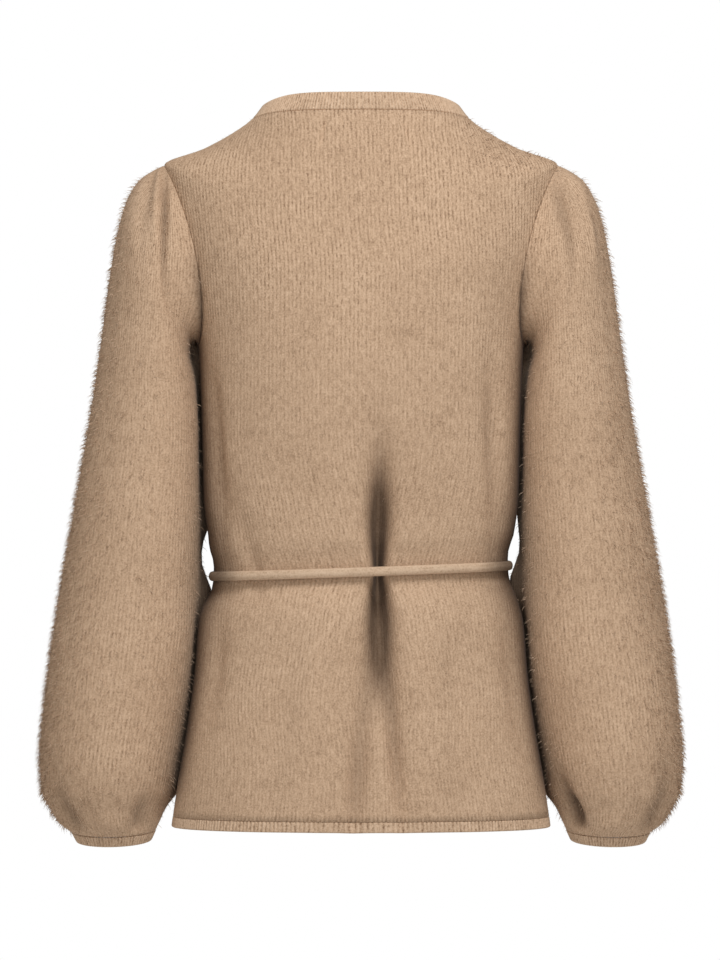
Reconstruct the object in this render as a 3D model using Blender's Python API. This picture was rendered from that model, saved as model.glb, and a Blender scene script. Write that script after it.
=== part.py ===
"""Chunky brushed-knit cardigan with balloon sleeves and a tie belt, hollow and filled out as it is worn.

Metres, +Z up. The wearer faces -Y, so +X is the wearer's left side. The origin lies midway between the
two points where the shoulder seams meet the neck seam, where the shoulders carry the garment.
Every knitted panel is a patch of one torso skin or one sleeve skin, worked out from the section tables.
"""

import math

import bmesh
import bpy
import numpy as np

MM = 0.001

# Driving sizes
CLOTH = 4.5 * MM  # brushed knit with its pile
SEAM_GAP = 0.3 * MM
HALF_SEAM_TURN = SEAM_GAP / 2 / (100 * MM)  # radians on a ring about 100 mm in radius
LAYER_GAP = 0.6 * MM  # between the two overlapping front edges
RIB_RELIEF = 1.3 * MM  # how far a rib stands above the groove beside it
RIB_PITCH = 3.9 * MM  # neckband, hem and front bands
CUFF_RIB_PITCH = 3.0 * MM
HEM_BAND_HEIGHT = 9.5 * MM
FRONT_BAND_WIDTH = 28 * MM
FRONT_BAND_RIBS = 6
HALF_RIBS_PER_INSIDE_CELL = 6
CUFF_HEIGHT = 10 * MM
CUFF_TAPER = 0.88  # width of the cuff's edge over its width at the seam
BELT_THICKNESS = 6 * MM
BELT_HEIGHT = 8.5 * MM
BELT_GAP = 1.3 * MM
KNOT_LIFT = 1.8 * MM  # the knot stands off the groove in which the belt lies
KNOT_ROUNDING = 3.6 * MM
BELT_LINE = -407 * MM
BELT_TILT = 0.035  # the belt rides higher on the wearer's right
BELT_REACH = 60 * MM  # how far above and below it the cloth tilts with it
KNOT_SIZE = (24 * MM, 13 * MM, 19 * MM)
BELT_END_DIAMETER = 7 * MM

# Heights are taken up the centre back. The two rise columns say how late a ring climbs towards its
# sides, and squareness below 1 makes the ring fuller than an ellipse.
TORSO_COLUMNS = (
    "back_height", "side_height", "front_height",
    "half_width", "back_depth", "front_depth",
    "back_rise", "front_rise", "squareness",
)
TORSO_SECTIONS = (
    (-637, -637, -637, 171, 116, 112, 2, 2, 0.92),  # hem edge
    (-595, -595, -595, 165, 112, 109, 2, 2, 0.92),
    (-545, -545, -545, 156.5, 106, 105, 2, 2, 0.92),
    (-495, -495, -495, 150, 100, 102, 2, 2, 0.92),
    (-452, -452, -452, 146.5, 95.5, 99.5, 2, 2, 0.92),
    (-424, -424, -424, 139.5, 90, 96.5, 2, 2, 0.92),
    (-407, -407, -407, 138, 89, 96, 2, 2, 0.92),  # belt line
    (-385, -385, -385, 137.5, 89.3, 96.8, 2, 2, 0.92),
    (-345, -345, -345, 142, 92.5, 101, 2, 2, 0.92),
    (-300, -300, -300, 143.5, 97.5, 108, 2, 2, 0.92),
    (-250, -250, -250, 145, 103, 115, 2, 2, 0.92),
    (-205, -205, -205, 147, 106, 117, 2, 2, 0.92),  # armpit
    (-142, -126, -165, 162, 104, 108, 2, 2, 0.95),  # middle of the armhole
    (-79, -42, -127, 178, 92, 91, 3, 2, 1.1),  # shoulder point
    (-37, -25, -101, 138, 80, 80, 3.5, 2.2, 1.04),
    (-16, -13, -88, 116, 73, 75, 4, 2.3, 0.98),
    (5, 0, -75, 98, 66, 70, 5, 2.4, 0.94),  # neck seam
    (24, 14, -57, 87, 59, 64, 5, 2.4, 0.92),  # top of the neckband
)

HEM_EDGE = -637 * MM
ARMPIT = -205 * MM
SHOULDER_POINT = -79 * MM
NECK_SEAM = 5 * MM
NECKBAND_TOP = 24 * MM
ARMHOLE_MIDDLE = (ARMPIT + SHOULDER_POINT) / 2
ARMHOLE_HALF = (SHOULDER_POINT - ARMPIT) / 2
ARMHOLE_BACK_ANGLE = 31  # degrees round the ring that the armhole cuts into the back
ARMHOLE_FRONT_ANGLE = 34

# Soft folds of the body. Angles: 0 wearer's left side, 90 centre back, 180 right side, -90 centre front.
# Push is outwards, so a trough has a minus sign. Half width is measured along the cloth.
FOLD_COLUMNS = ("top", "bottom", "top_angle", "bottom_angle", "half_width", "push")
BODY_FOLDS = (
    (-230, -575, 95.5, 96, 12, -19),  # deep centre-back fold that the belt gathers
    (-340, -700, 84, 67, 18, 7),  # ridge that fans out to its left
    (-340, -700, 111, 114, 18, 7),  # ridge that fans out to its right
    (-460, -700, 92.5, 86, 9, -7),  # the fold splits in two below the belt
    (-450, -670, 98, 101.5, 9, -7),
    (-190, -420, 24, 27, 12, -7),  # drape below the left armpit
    (-170, -420, 140, 152, 13, -9),  # drape below the right armpit
    (-300, -450, 28, 55, 17, -4),
    (-410, -575, 32, 28, 14, -6),
    (-410, -605, 150, 157, 14, -6),
    (-265, -545, -52, -50, 14, -9),  # gathers at the front of the waist
    (-275, -535, -128, -130, 14, -9),
    (-295, -565, -68, -64, 14, 4),
    (-295, -565, -112, -116, 14, 4),
    (-190, -410, -28, -26, 13, -6),
    (-190, -410, -152, -154, 13, -6),
)
CINCH_DEPTH = 5 * MM  # the belt's groove
CINCH_HALF_HEIGHT = 21 * MM

# Each sleeve ring joins its outermost point to its innermost one; back_drop lowers its back and lifts
# its front.
SLEEVE_COLUMNS = ("outer_x", "outer_z", "inner_x", "inner_z", "half_depth", "centre_y", "back_drop")
SLEEVE_SECTIONS = (
    (178, -42, 147, -205, 50, 2, 0),  # armhole seam
    (188, -47, 149.5, -200.5, 52, 2, 0),
    (200, -55.5, 153, -205, 54, 1, 0),
    (212, -76, 152.5, -216, 56, 0, 0),
    (220, -105, 148, -231, 58, -1, 0),
    (226.5, -142, 144, -251, 59, -2, 0),
    (235, -205, 141, -288, 60, -4, 0),
    (246, -278, 141.5, -337, 61, -7, 0),
    (259, -353, 143.5, -395, 63, -9, 0),
    (273, -435, 144, -458, 66, -12, 0),
    (285, -520, 152, -528, 69, -16, 0),
    (290, -575, 161, -577, 67, -18, 0),  # fullest part of the balloon
    (288.5, -605, 167.5, -605, 60, -19, 1),
    (281, -622, 175, -620, 51, -20, 2),
    (272.5, -635, 180, -631, 43, -20, 4),
    (262, -642.5, 184.5, -640.5, 34, -20, 5),  # cuff seam
)
ARMHOLE_FADE_ROWS = 4  # sections over which the sleeve leaves the armhole's own outline
SLEEVE_CLEARANCE = 1.2 * MM  # between a sleeve and the side of the body that it lies against
SLEEVE_SOFTNESS = 3 * MM

# Sleeve folds run from one section row and angle to another. Angle 0 is the outer side, 90 the back.
# Side is 1 for the wearer's left sleeve, -1 for the right one, 0 for both.
SLEEVE_FOLD_COLUMNS = ("side", "top_row", "bottom_row", "top_angle", "bottom_angle", "half_width", "push")
SLEEVE_FOLDS = (
    (1, -0.8, 6.0, 20, 72, 8, -5),  # pleats of the sleeve head
    (1, -0.8, 5.0, 3, 44, 9, 4),
    (-1, -0.8, 4.8, 24, 96, 9, -4.5),
    (-1, -0.8, 5.6, 8, 58, 10, 3.5),
    (-1, 0.5, 4.6, 40, 30, 9, -3),
    (0, -0.8, 6.0, -20, -80, 8, -4.5),
    (0, -0.8, 5.0, -4, -50, 9, 3.5),
    (1, 11.4, 15.8, 126, 128, 9, -5),  # dents above the cuff
    (1, 10.8, 15.6, 42, 50, 10, -5),
    (-1, 10.8, 15.6, 142, 136, 9, -9),
    (-1, 10.4, 15.4, 40, 44, 11, -5),
    (0, 11.6, 15.8, 86, 92, 12, 2.5),
    (0, 11.2, 15.8, -50, -60, 9, -5),
    (0, 11.4, 15.8, -125, -130, 9, -5),
)

# Mesh density
ARMHOLE_STEPS = 11  # rows from armpit to shoulder point, and half a sleeve's columns
LOWER_ROWS = (-603, -565, -526, -488, -452, -418, -396, -370, -330, -290, -250)
SHOULDER_ROWS = (-55, -27)
BACK_COLUMNS = (  # degrees, closer together in the deep fold
    0, 9, 17, 24, 31, 39, 48, 57, 65, 72, 78, 83, 87, 90.5,
    93.5, 96, 98.5, 102, 107, 113, 120, 128, 136, 144, 152, 161, 170, 180,
)
# places of the fronts' mesh columns, as shares of the width
FRONT_COLUMNS = (0, 0.12, 0.24, 0.34, 0.43, 0.51, 0.58, 0.65, 0.72, 0.79, 0.86, 0.93, 1)
BELT_STATIONS = 49
BELT_END_STATIONS = 15
CORD_SIDES = 6

# Hand-placed routes of the two belt ends down the front, as x and z; their depth follows the cloth.
LEFT_END_ROUTE = (
    (6, -417.2), (8, -433), (12, -453), (16, -480), (18, -515), (19, -550), (21, -585), (24, -615),
)
RIGHT_END_ROUTE = (
    (-6, -417.2), (-8, -432), (-11, -451), (-14, -477), (-16, -511), (-19, -545), (-22, -573), (-23, -597),
)

KNIT_COLOUR = (0.47, 0.35, 0.25)
RIB_COLOUR = (0.45, 0.335, 0.24)
BELT_COLOUR = (0.52, 0.40, 0.30)
CLOTH_ROUGHNESS = 0.93


def smooth_curve(stations, values, at):
    """Monotone cubic curve through (stations, values), read at the stations in at."""
    x = np.asarray(stations, float)
    y = np.asarray(values, float)
    at = np.clip(np.asarray(at, float), x[0], x[-1])
    step = np.diff(x)
    rise = np.diff(y) / step
    slope = np.zeros(len(x))
    slope[0] = rise[0]
    slope[-1] = rise[-1]
    for i in range(1, len(x) - 1):
        if rise[i - 1] * rise[i] > 0:
            near = 2 * step[i] + step[i - 1]
            far = step[i] + 2 * step[i - 1]
            slope[i] = (near + far) / (near / rise[i - 1] + far / rise[i])
    i = np.clip(np.searchsorted(x, at, side="right") - 1, 0, len(step) - 1)
    t = (at - x[i]) / step[i]
    start = (1 + 2 * t) * (1 - t) ** 2 * y[i] + t * (1 - t) ** 2 * step[i] * slope[i]
    end = t**2 * (3 - 2 * t) * y[i + 1] + t**2 * (t - 1) * step[i] * slope[i + 1]
    return start + end


def smooth_step(t):
    t = np.clip(t, 0, 1)
    return t * t * (3 - 2 * t)


def section_reader(rows, names, stations):
    """Returns a function that reads every named column of a section table at given stations."""
    table = np.array(rows, float)

    def read(at):
        return {name: smooth_curve(stations, table[:, i], at) for i, name in enumerate(names)}

    return read


TORSO_STATIONS = np.array([row[0] for row in TORSO_SECTIONS]) * MM
read_torso = section_reader(TORSO_SECTIONS, TORSO_COLUMNS, TORSO_STATIONS)
read_sleeve = section_reader(SLEEVE_SECTIONS, SLEEVE_COLUMNS, np.arange(len(SLEEVE_SECTIONS)))


def torso_base(angle, height):
    """Point of the torso skin without folds. The angle is in radians, the height up the centre back."""
    ring = read_torso(height)
    cosine = np.cos(angle)
    sine = np.sin(angle)
    at_back = sine >= 0
    depth = np.where(at_back, ring["back_depth"], ring["front_depth"]) * MM
    middle = np.where(at_back, ring["back_height"], ring["front_height"]) * MM
    rise = np.where(at_back, ring["back_rise"], ring["front_rise"])
    side = ring["side_height"] * MM
    x = ring["half_width"] * MM * np.sign(cosine) * np.abs(cosine) ** ring["squareness"]
    y = depth * np.sign(sine) * np.abs(sine) ** ring["squareness"]
    z = middle + (side - middle) * np.abs(cosine) ** rise
    return np.stack([x, y, z], axis=-1)


def torso_normal(angle, height, turn=math.radians(2), reach=16 * MM):
    """Outward direction of the torso skin, read a little way up the cloth so that the shoulder faces up."""
    low = np.minimum(height, NECKBAND_TOP - reach)
    along = torso_base(angle + turn, height) - torso_base(angle - turn, height)
    up = torso_base(angle, low + reach) - torso_base(angle, low)
    normal = np.cross(along, up)
    return normal / np.linalg.norm(normal, axis=-1, keepdims=True)


def fold_lift(fold, share, angle, wide, deep):
    """Outward push of one fold. share is the place along its course, from 0 to 1, and wide and deep are
    the half axes of the ring in millimetres."""
    turn = fold["bottom_angle"] - fold["top_angle"]
    course = math.radians(fold["top_angle"]) + share * math.radians(turn)
    away = (angle - course + math.pi) % (2 * math.pi) - math.pi
    arc = away * np.hypot(wide * np.sin(course), deep * np.cos(course))
    fading = np.sin(math.pi * np.clip(share, 0, 1)) ** 2
    return fold["push"] * MM * fading * np.exp(-((arc / fold["half_width"]) ** 2))


def belt_height(angle):
    """Height of the belt's centre line round the body."""
    return BELT_LINE - BELT_TILT * torso_base(angle, BELT_LINE + 0 * angle)[..., 0]


def body_push(angle, height):
    """How far the folds and the belt's groove move the cloth outwards."""
    ring = read_torso(height)
    depth = np.where(np.sin(angle) >= 0, ring["back_depth"], ring["front_depth"])
    from_belt = np.exp(-(((height - belt_height(angle)) / CINCH_HALF_HEIGHT) ** 4))
    push = 0
    for row in BODY_FOLDS:
        fold = dict(zip(FOLD_COLUMNS, row))
        share = (height / MM - fold["top"]) / (fold["bottom"] - fold["top"])
        lift = fold_lift(fold, share, angle, ring["half_width"], depth)
        push = push + (lift * (1 - from_belt) if fold["push"] > 0 else lift)
    return push - CINCH_DEPTH * from_belt


def torso_points(angle, height, depth, layer=0):
    """Points of the cloth: depth is measured inwards from its outer face, and layer says how far it is
    tucked under."""
    out = body_push(angle, height) - depth - layer
    return torso_base(angle, height) + torso_normal(angle, height) * out[..., None]


def angle_at_x(x, height):
    """Angle in the front half of the ring, from -180 to 0 degrees, where the skin has this x."""
    ring = read_torso(height)
    share = x / (ring["half_width"] * MM)
    return -np.arccos(np.sign(share) * np.abs(share) ** (1 / ring["squareness"]))


def under_layer(angle, height):
    """The left front runs under the right one near the centre front, and its neckband and hem with it."""
    x = read_torso(height)["half_width"] * MM * np.cos(angle)
    overlap = FRONT_BAND_WIDTH / 2
    return (CLOTH + LAYER_GAP) * smooth_step((3.4 * overlap - x) / (2.2 * overlap))


def armhole_angle(height, widest):
    """Angle from the side line to the armhole's edge; zero below the armpit and above the shoulder."""
    t = (height - ARMHOLE_MIDDLE) / ARMHOLE_HALF
    return math.radians(widest) * np.sqrt(np.clip(1 - t**2, 0, 1))


def along_belt(height, angle):
    """A row's height at an angle: near the belt the rows run parallel to it."""
    near = np.exp(-(((height - BELT_LINE) / BELT_REACH) ** 2))
    return height + (belt_height(angle) - BELT_LINE) * near


def panel_heights():
    """Heights of a panel's rows, from the hem seam to the neck seam."""
    lower = [HEM_EDGE + HEM_BAND_HEIGHT + SEAM_GAP] + [h * MM for h in LOWER_ROWS]
    turns = [math.pi * i / ARMHOLE_STEPS for i in range(ARMHOLE_STEPS + 1)]
    armhole = [ARMHOLE_MIDDLE - ARMHOLE_HALF * math.cos(turn) for turn in turns]
    shoulder = [h * MM for h in SHOULDER_ROWS] + [NECK_SEAM - SEAM_GAP]
    return np.array(lower + armhole + shoulder)


def rim_faces(mesh, outer_a, outer_b, inner_b, inner_a):
    """Two triangles across a cut edge. Their diagonal starts at the higher outer corner, so that the
    edges of two pieces that face each other across a seam are folded alike."""
    if outer_a.co.z >= outer_b.co.z:
        mesh.faces.new((outer_a, outer_b, inner_b))
        mesh.faces.new((outer_a, inner_b, inner_a))
    else:
        mesh.faces.new((outer_a, outer_b, inner_a))
        mesh.faces.new((outer_b, inner_b, inner_a))


def solid_between(name, outer, inner, wrap=False):
    """Closed solid between two grids of points [row][column]. The outer grid may be a whole number of times
    denser along its columns, as on a ribbed band with a plain inside. wrap joins last column to first."""
    rows, dense, _ = outer.shape
    coarse = inner.shape[1]
    mesh = bmesh.new()
    outside = [[mesh.verts.new(p) for p in row] for row in outer]
    inside = [[mesh.verts.new(p) for p in row] for row in inner]
    dense_cells = dense if wrap else dense - 1
    coarse_cells = coarse if wrap else coarse - 1
    per_cell = dense_cells // coarse_cells
    for grid, cells in ((outside, dense_cells), (inside, coarse_cells)):
        for r in range(rows - 1):
            for c in range(cells):
                d = (c + 1) % len(grid[0])
                mesh.faces.new((grid[r][c], grid[r][d], grid[r + 1][d], grid[r + 1][c]))
    for r in (0, rows - 1):
        for cell in range(coarse_cells):
            near = inside[r][cell]
            far = inside[r][(cell + 1) % coarse]
            rim = [outside[r][(cell * per_cell + k) % dense] for k in range(per_cell + 1)]
            if per_cell == 1:
                rim_faces(mesh, rim[0], rim[1], far, near)
                continue
            half = per_cell // 2
            for k in range(per_cell):
                mesh.faces.new((rim[k], rim[k + 1], near if k < half else far))
            mesh.faces.new((near, rim[half], far))
    if not wrap:
        for c, d in ((0, 0), (dense - 1, coarse - 1)):
            for r in range(rows - 1):
                rim_faces(mesh, outside[r][c], outside[r + 1][c], inside[r + 1][d], inside[r][d])
    bmesh.ops.recalc_face_normals(mesh, faces=mesh.faces)
    data = bpy.data.meshes.new(name)
    mesh.to_mesh(data)
    mesh.free()
    return add_object(name, data)


def add_object(name, data):
    obj = bpy.data.objects.new(name, data)
    bpy.context.scene.collection.objects.link(obj)
    data.shade_smooth()
    data.set_sharp_from_angle(angle=math.radians(50))
    return obj


def paint(obj, colour, roughness):
    finish = bpy.data.materials.new(obj.name)
    finish.use_nodes = True
    shader = finish.node_tree.nodes["Principled BSDF"]
    shader.inputs["Base Color"].default_value = (*colour, 1)
    shader.inputs["Roughness"].default_value = roughness
    shader.inputs["Metallic"].default_value = 0
    obj.data.materials.append(finish)


def panel(name, heights, first, last, spread, layered=False):
    """A knitted panel between two edge angles, given per height; spread places its columns from 0 to 1."""
    height = np.repeat(heights[:, None], len(spread), axis=1)
    angle = first[:, None] + (last - first)[:, None] * spread[None, :]
    height = along_belt(height, angle)
    layer = under_layer(angle, height) if layered else 0
    outer = torso_points(angle, height, 0, layer)
    inner = torso_points(angle, height, CLOTH, layer)
    return solid_between(name, outer, inner)


def front_edge_x(side):
    """x of the seam between a front panel and its band; side is 1 for the wearer's left."""
    return side * (FRONT_BAND_WIDTH / 2 + SEAM_GAP)


def build_back(heights):
    edge = armhole_angle(heights, ARMHOLE_BACK_ANGLE) + HALF_SEAM_TURN
    return panel("back", heights, edge, math.pi - edge, np.array(BACK_COLUMNS) / 180)


def build_front(name, side, heights):
    edge = -armhole_angle(heights, ARMHOLE_FRONT_ANGLE) - HALF_SEAM_TURN
    edge = edge if side > 0 else -math.pi - edge
    centre = angle_at_x(front_edge_x(side), heights)
    return panel(name, heights, edge, centre, np.array(FRONT_COLUMNS), layered=side > 0)


def ribbed_strip(name, bottom, top, first, last, place):
    """A band of upright ribs between two heights, from one angle to another, plain on its inside. place gives
    the points for an array of angles, one height and a depth."""
    probe = place(np.linspace(first, last, 200), (bottom + top) / 2, 0)
    length = np.linalg.norm(np.diff(probe, axis=0), axis=1).sum()
    cells = max(1, round(2 * length / RIB_PITCH / HALF_RIBS_PER_INSIDE_CELL))
    dense = np.linspace(first, last, cells * HALF_RIBS_PER_INSIDE_CELL + 1)
    coarse = np.linspace(first, last, cells + 1)
    grooves = RIB_RELIEF * (np.arange(len(dense)) % 2)
    outer = np.array([place(dense, height, grooves) for height in (bottom, top)])
    inner = np.array([place(coarse, height, CLOTH) for height in (bottom, top)])
    return solid_between(name, outer, inner)


def build_hem_bands():
    top = HEM_EDGE + HEM_BAND_HEIGHT
    left_centre = float(angle_at_x(front_edge_x(1), HEM_EDGE))
    right_centre = float(angle_at_x(front_edge_x(-1), HEM_EDGE))

    def upper(angle, height, depth):
        return torso_points(angle, height + 0 * angle, depth)

    def tucked(angle, height, depth):
        return torso_points(angle, height + 0 * angle, depth, under_layer(angle, height + 0 * angle))

    return [
        ribbed_strip("hem_band_back", HEM_EDGE, top, HALF_SEAM_TURN, math.pi - HALF_SEAM_TURN, upper),
        ribbed_strip("hem_band_left", HEM_EDGE, top, left_centre, -HALF_SEAM_TURN, tucked),
        ribbed_strip("hem_band_right", HEM_EDGE, top, -math.pi + HALF_SEAM_TURN, right_centre, upper),
    ]


def neck_columns(heights):
    """Angles of the body panels' columns along the neck seam, from the left front's edge to the right's."""
    top = heights[-1:]
    centre = float(angle_at_x(front_edge_x(1), top)[0])
    front = np.array(FRONT_COLUMNS)
    left = centre * front[::-1]
    right = math.pi - centre * front
    return np.concatenate([left, np.radians(BACK_COLUMNS[1:-1]), right])


def build_neckband(heights):
    """Runs from the left front's edge, tucked under, round the back of the neck to the right front's edge. Its
    seam edge is straight between the panels' columns, as theirs is."""
    bottom = NECK_SEAM + SEAM_GAP / 2
    columns = neck_columns(heights)

    def on_skin(angle, height, depth):
        layer = np.where(angle < 0, under_layer(angle, height + 0 * angle), 0)
        return torso_points(angle, height + 0 * angle, depth, layer)

    def place(angle, height, depth):
        if height > bottom:
            return on_skin(angle, height, depth)
        inside = np.clip(angle, columns[0], columns[-1])
        i = np.clip(np.searchsorted(columns, inside, side="right") - 1, 0, len(columns) - 2)
        t = ((inside - columns[i]) / (columns[i + 1] - columns[i]))[:, None]
        straight = on_skin(columns[i], height, depth) * (1 - t) + on_skin(columns[i + 1], height, depth) * t
        past = (angle < columns[0]) | (angle > columns[-1])
        return np.where(past[:, None], on_skin(angle, height, depth), straight)

    free_edge = float(angle_at_x(-FRONT_BAND_WIDTH / 2, bottom))
    return ribbed_strip("neckband", bottom, NECKBAND_TOP, free_edge, math.pi - free_edge, place)


def build_front_band(name, side, heights):
    """Front edge band with ribs along its length; the wearer's right band lies on top."""
    columns = 2 * FRONT_BAND_RIBS
    rows = np.concatenate([[HEM_EDGE], heights[1:]])
    x = np.linspace(-FRONT_BAND_WIDTH / 2, FRONT_BAND_WIDTH / 2, columns + 1)
    grooves = RIB_RELIEF * (np.arange(columns + 1) % 2)

    def face(across, depth):
        height = np.repeat(rows[:, None], len(across), axis=1)
        angle = angle_at_x(across[None, :], height)
        height = along_belt(height, angle)
        layer = CLOTH + LAYER_GAP if side > 0 else 0
        return torso_points(angle, height, depth, layer)

    return solid_between(name, face(x, grooves), face(x[::HALF_RIBS_PER_INSIDE_CELL], CLOTH))


def sleeve_base(row, angle):
    """Point of the left sleeve's skin without folds; row counts the sections, angle runs round the sleeve."""
    ring = read_sleeve(row)
    cosine = np.cos(angle)
    sine = np.sin(angle)
    outer = np.stack([ring["outer_x"], 0 * row, ring["outer_z"]], axis=-1) * MM
    inner = np.stack([ring["inner_x"], 0 * row, ring["inner_z"]], axis=-1) * MM
    centre = (outer + inner) / 2
    sideways = np.zeros_like(centre)
    sideways[..., 1] = ring["half_depth"] * MM * sine
    sideways[..., 2] = -ring["back_drop"] * MM * sine
    centre[..., 1] = ring["centre_y"] * MM
    ellipse = centre + (outer - inner) / 2 * cosine[..., None] + sideways
    fade = 1 - smooth_step(row / ARMHOLE_FADE_ROWS)
    return beside_body(ellipse + (armhole_seam(angle) - armhole_ellipse(angle)) * fade[..., None])


def beside_body(points):
    """The sleeve's inner side is flattened where it lies against the body below the armpit."""
    x, y, z = points[..., 0], points[..., 1], points[..., 2]
    ring = read_torso(np.minimum(z, ARMPIT))
    depth = np.where(y >= 0, ring["back_depth"], ring["front_depth"]) * MM
    sine = np.clip(np.abs(y) / depth, 0, 1) ** (1 / ring["squareness"])
    body_x = ring["half_width"] * MM * np.sqrt(1 - sine**2) ** ring["squareness"]
    spare = x - body_x - SLEEVE_CLEARANCE
    moved = points.copy()
    below = np.clip((ARMPIT - z) / (10 * MM), 0, 1)
    moved[..., 0] += below * (np.hypot(spare, SLEEVE_SOFTNESS) - spare) / 2
    return moved


def armhole_seam(angle, gap=SEAM_GAP):
    """The armhole's edge on the torso skin, as the sleeve meets it, round the sleeve's own angle."""
    widest = np.where(np.sin(angle) >= 0, ARMHOLE_BACK_ANGLE, ARMHOLE_FRONT_ANGLE)
    turn = np.radians(widest) * np.sin(angle)
    turn -= np.sign(turn) * np.minimum(np.abs(turn), gap / (150 * MM))
    return torso_base(turn, ARMHOLE_MIDDLE + (ARMHOLE_HALF - gap) * np.cos(angle))


def armhole_ellipse(angle):
    """The first sleeve section as the table has it."""
    ring = dict(zip(SLEEVE_COLUMNS, SLEEVE_SECTIONS[0]))
    x = (ring["outer_x"] + ring["inner_x"]) / 2 + (ring["outer_x"] - ring["inner_x"]) / 2 * np.cos(angle)
    y = ring["centre_y"] + ring["half_depth"] * np.sin(angle)
    z = (ring["outer_z"] + ring["inner_z"]) / 2 + (ring["outer_z"] - ring["inner_z"]) / 2 * np.cos(angle)
    return np.stack([x, y, z], axis=-1) * MM


def armhole_normal(angle):
    """Outward direction of the torso skin along the armhole, so that both seam edges face each other."""
    widest = np.where(np.sin(angle) >= 0, ARMHOLE_BACK_ANGLE, ARMHOLE_FRONT_ANGLE)
    height = ARMHOLE_MIDDLE + ARMHOLE_HALF * np.cos(angle)
    return torso_normal(np.radians(widest) * np.sin(angle), height)


def sleeve_normal(row, angle, turn=math.radians(3), step=0.35):
    last = len(SLEEVE_SECTIONS) - 1
    down = sleeve_base(np.minimum(row + step, last), angle) - sleeve_base(np.maximum(row - step, 0), angle)
    round_it = sleeve_base(row, angle + turn) - sleeve_base(row, angle - turn)
    normal = np.cross(down, round_it)
    normal /= np.linalg.norm(normal, axis=-1, keepdims=True)
    at_seam = (1 - smooth_step(row))[..., None]
    mixed = normal * (1 - at_seam) + armhole_normal(angle) * at_seam
    return mixed / np.linalg.norm(mixed, axis=-1, keepdims=True)


def sleeve_push(row, angle, side):
    """Pleats of the sleeve head and dents above the cuff of one side's sleeve."""
    ring = read_sleeve(row)
    reach = np.hypot(ring["outer_x"] - ring["inner_x"], ring["outer_z"] - ring["inner_z"]) / 2
    push = 0
    for line in SLEEVE_FOLDS:
        fold = dict(zip(SLEEVE_FOLD_COLUMNS, line))
        if fold["side"] == -side:
            continue
        share = (row - fold["top_row"]) / (fold["bottom_row"] - fold["top_row"])
        push = push + fold_lift(fold, share, angle, reach, ring["half_depth"])
    return push * smooth_step(row) * smooth_step(len(SLEEVE_SECTIONS) - 1 - row)


def sleeve_points(row, angle, depth, side):
    out = sleeve_push(row, angle, side) - depth
    return sleeve_base(row, angle) + sleeve_normal(row, angle) * out[..., None]


def on_side(points, side):
    """The left sleeve's points, or their mirror image for the right one."""
    return points * np.array([side, 1, 1])


def build_sleeve(name, side):
    columns = 2 * ARMHOLE_STEPS
    rows = np.repeat(np.arange(len(SLEEVE_SECTIONS), dtype=float)[:, None], columns, axis=1)
    angle = np.repeat((2 * math.pi * np.arange(columns) / columns)[None, :], len(rows), axis=0)
    outer = sleeve_points(rows, angle, 0, side)
    inner = sleeve_points(rows, angle, CLOTH, side)
    return solid_between(name, on_side(outer, side), on_side(inner, side), wrap=True)


def build_cuff(name, side):
    """Ribbed cuff: the sleeve's last ring carried on downwards, narrower at its edge."""
    ring = dict(zip(SLEEVE_COLUMNS, SLEEVE_SECTIONS[-1]))
    outer_end = np.array([ring["outer_x"], ring["centre_y"], ring["outer_z"]]) * MM
    inner_end = np.array([ring["inner_x"], ring["centre_y"], ring["inner_z"]]) * MM
    centre = (outer_end + inner_end) / 2
    across = (outer_end - inner_end) / 2
    backwards = np.array([0, ring["half_depth"], -ring["back_drop"]]) * MM
    half_width = np.linalg.norm(across)
    half_depth = np.linalg.norm(backwards)
    down = np.cross(backwards, across) / (half_width * half_depth)
    cells = round(2 * math.pi * (half_width + half_depth) / CUFF_RIB_PITCH / HALF_RIBS_PER_INSIDE_CELL)

    def face(count, depth):
        angle = 2 * math.pi * np.arange(count) / count
        rows = []
        for drop, size in ((SEAM_GAP, 1), (CUFF_HEIGHT, CUFF_TAPER)):
            wide = (size - depth / half_width) * np.cos(angle)
            deep = (size - depth / half_depth) * np.sin(angle)
            rows.append(centre + down * drop + across * wide[:, None] + backwards * deep[:, None])
        return np.array(rows)

    grooves = RIB_RELIEF * (np.arange(cells * HALF_RIBS_PER_INSIDE_CELL) % 2)
    outer = face(cells * HALF_RIBS_PER_INSIDE_CELL, grooves)
    inner = face(cells, CLOTH)
    return solid_between(name, on_side(outer, side), on_side(inner, side), wrap=True)


def belt_centre(angle):
    """Centre line of the belt: it bridges the folds, so it follows the smooth ring."""
    height = belt_height(angle)
    out = BELT_GAP + BELT_THICKNESS / 2 - CINCH_DEPTH
    return torso_base(angle, height) + torso_normal(angle, height) * (out + 0 * angle)[..., None]


def tube(name, centre, outwards, out_size, across_size):
    """Closed cord through a row of points, with its two thicknesses along outwards and square to it."""
    along = np.gradient(centre, axis=0)
    across = np.cross(along, outwards)
    across /= np.linalg.norm(across, axis=1, keepdims=True)
    out = np.cross(across, along)
    out /= np.linalg.norm(out, axis=1, keepdims=True)
    mesh = bmesh.new()
    rings = []
    for i, point in enumerate(centre):
        ring = []
        for k in range(CORD_SIDES):
            turn = 2 * math.pi * (k + 0.5) / CORD_SIDES
            offset = out[i] * out_size / 2 * math.cos(turn) + across[i] * across_size / 2 * math.sin(turn)
            ring.append(mesh.verts.new(point + offset))
        rings.append(ring)
    for near, far in zip(rings, rings[1:]):
        for k in range(CORD_SIDES):
            j = (k + 1) % CORD_SIDES
            mesh.faces.new((near[k], near[j], far[j], far[k]))
    mesh.faces.new(rings[0])
    mesh.faces.new(rings[-1])
    bmesh.ops.recalc_face_normals(mesh, faces=mesh.faces)
    data = bpy.data.meshes.new(name)
    mesh.to_mesh(data)
    mesh.free()
    return add_object(name, data)


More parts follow.
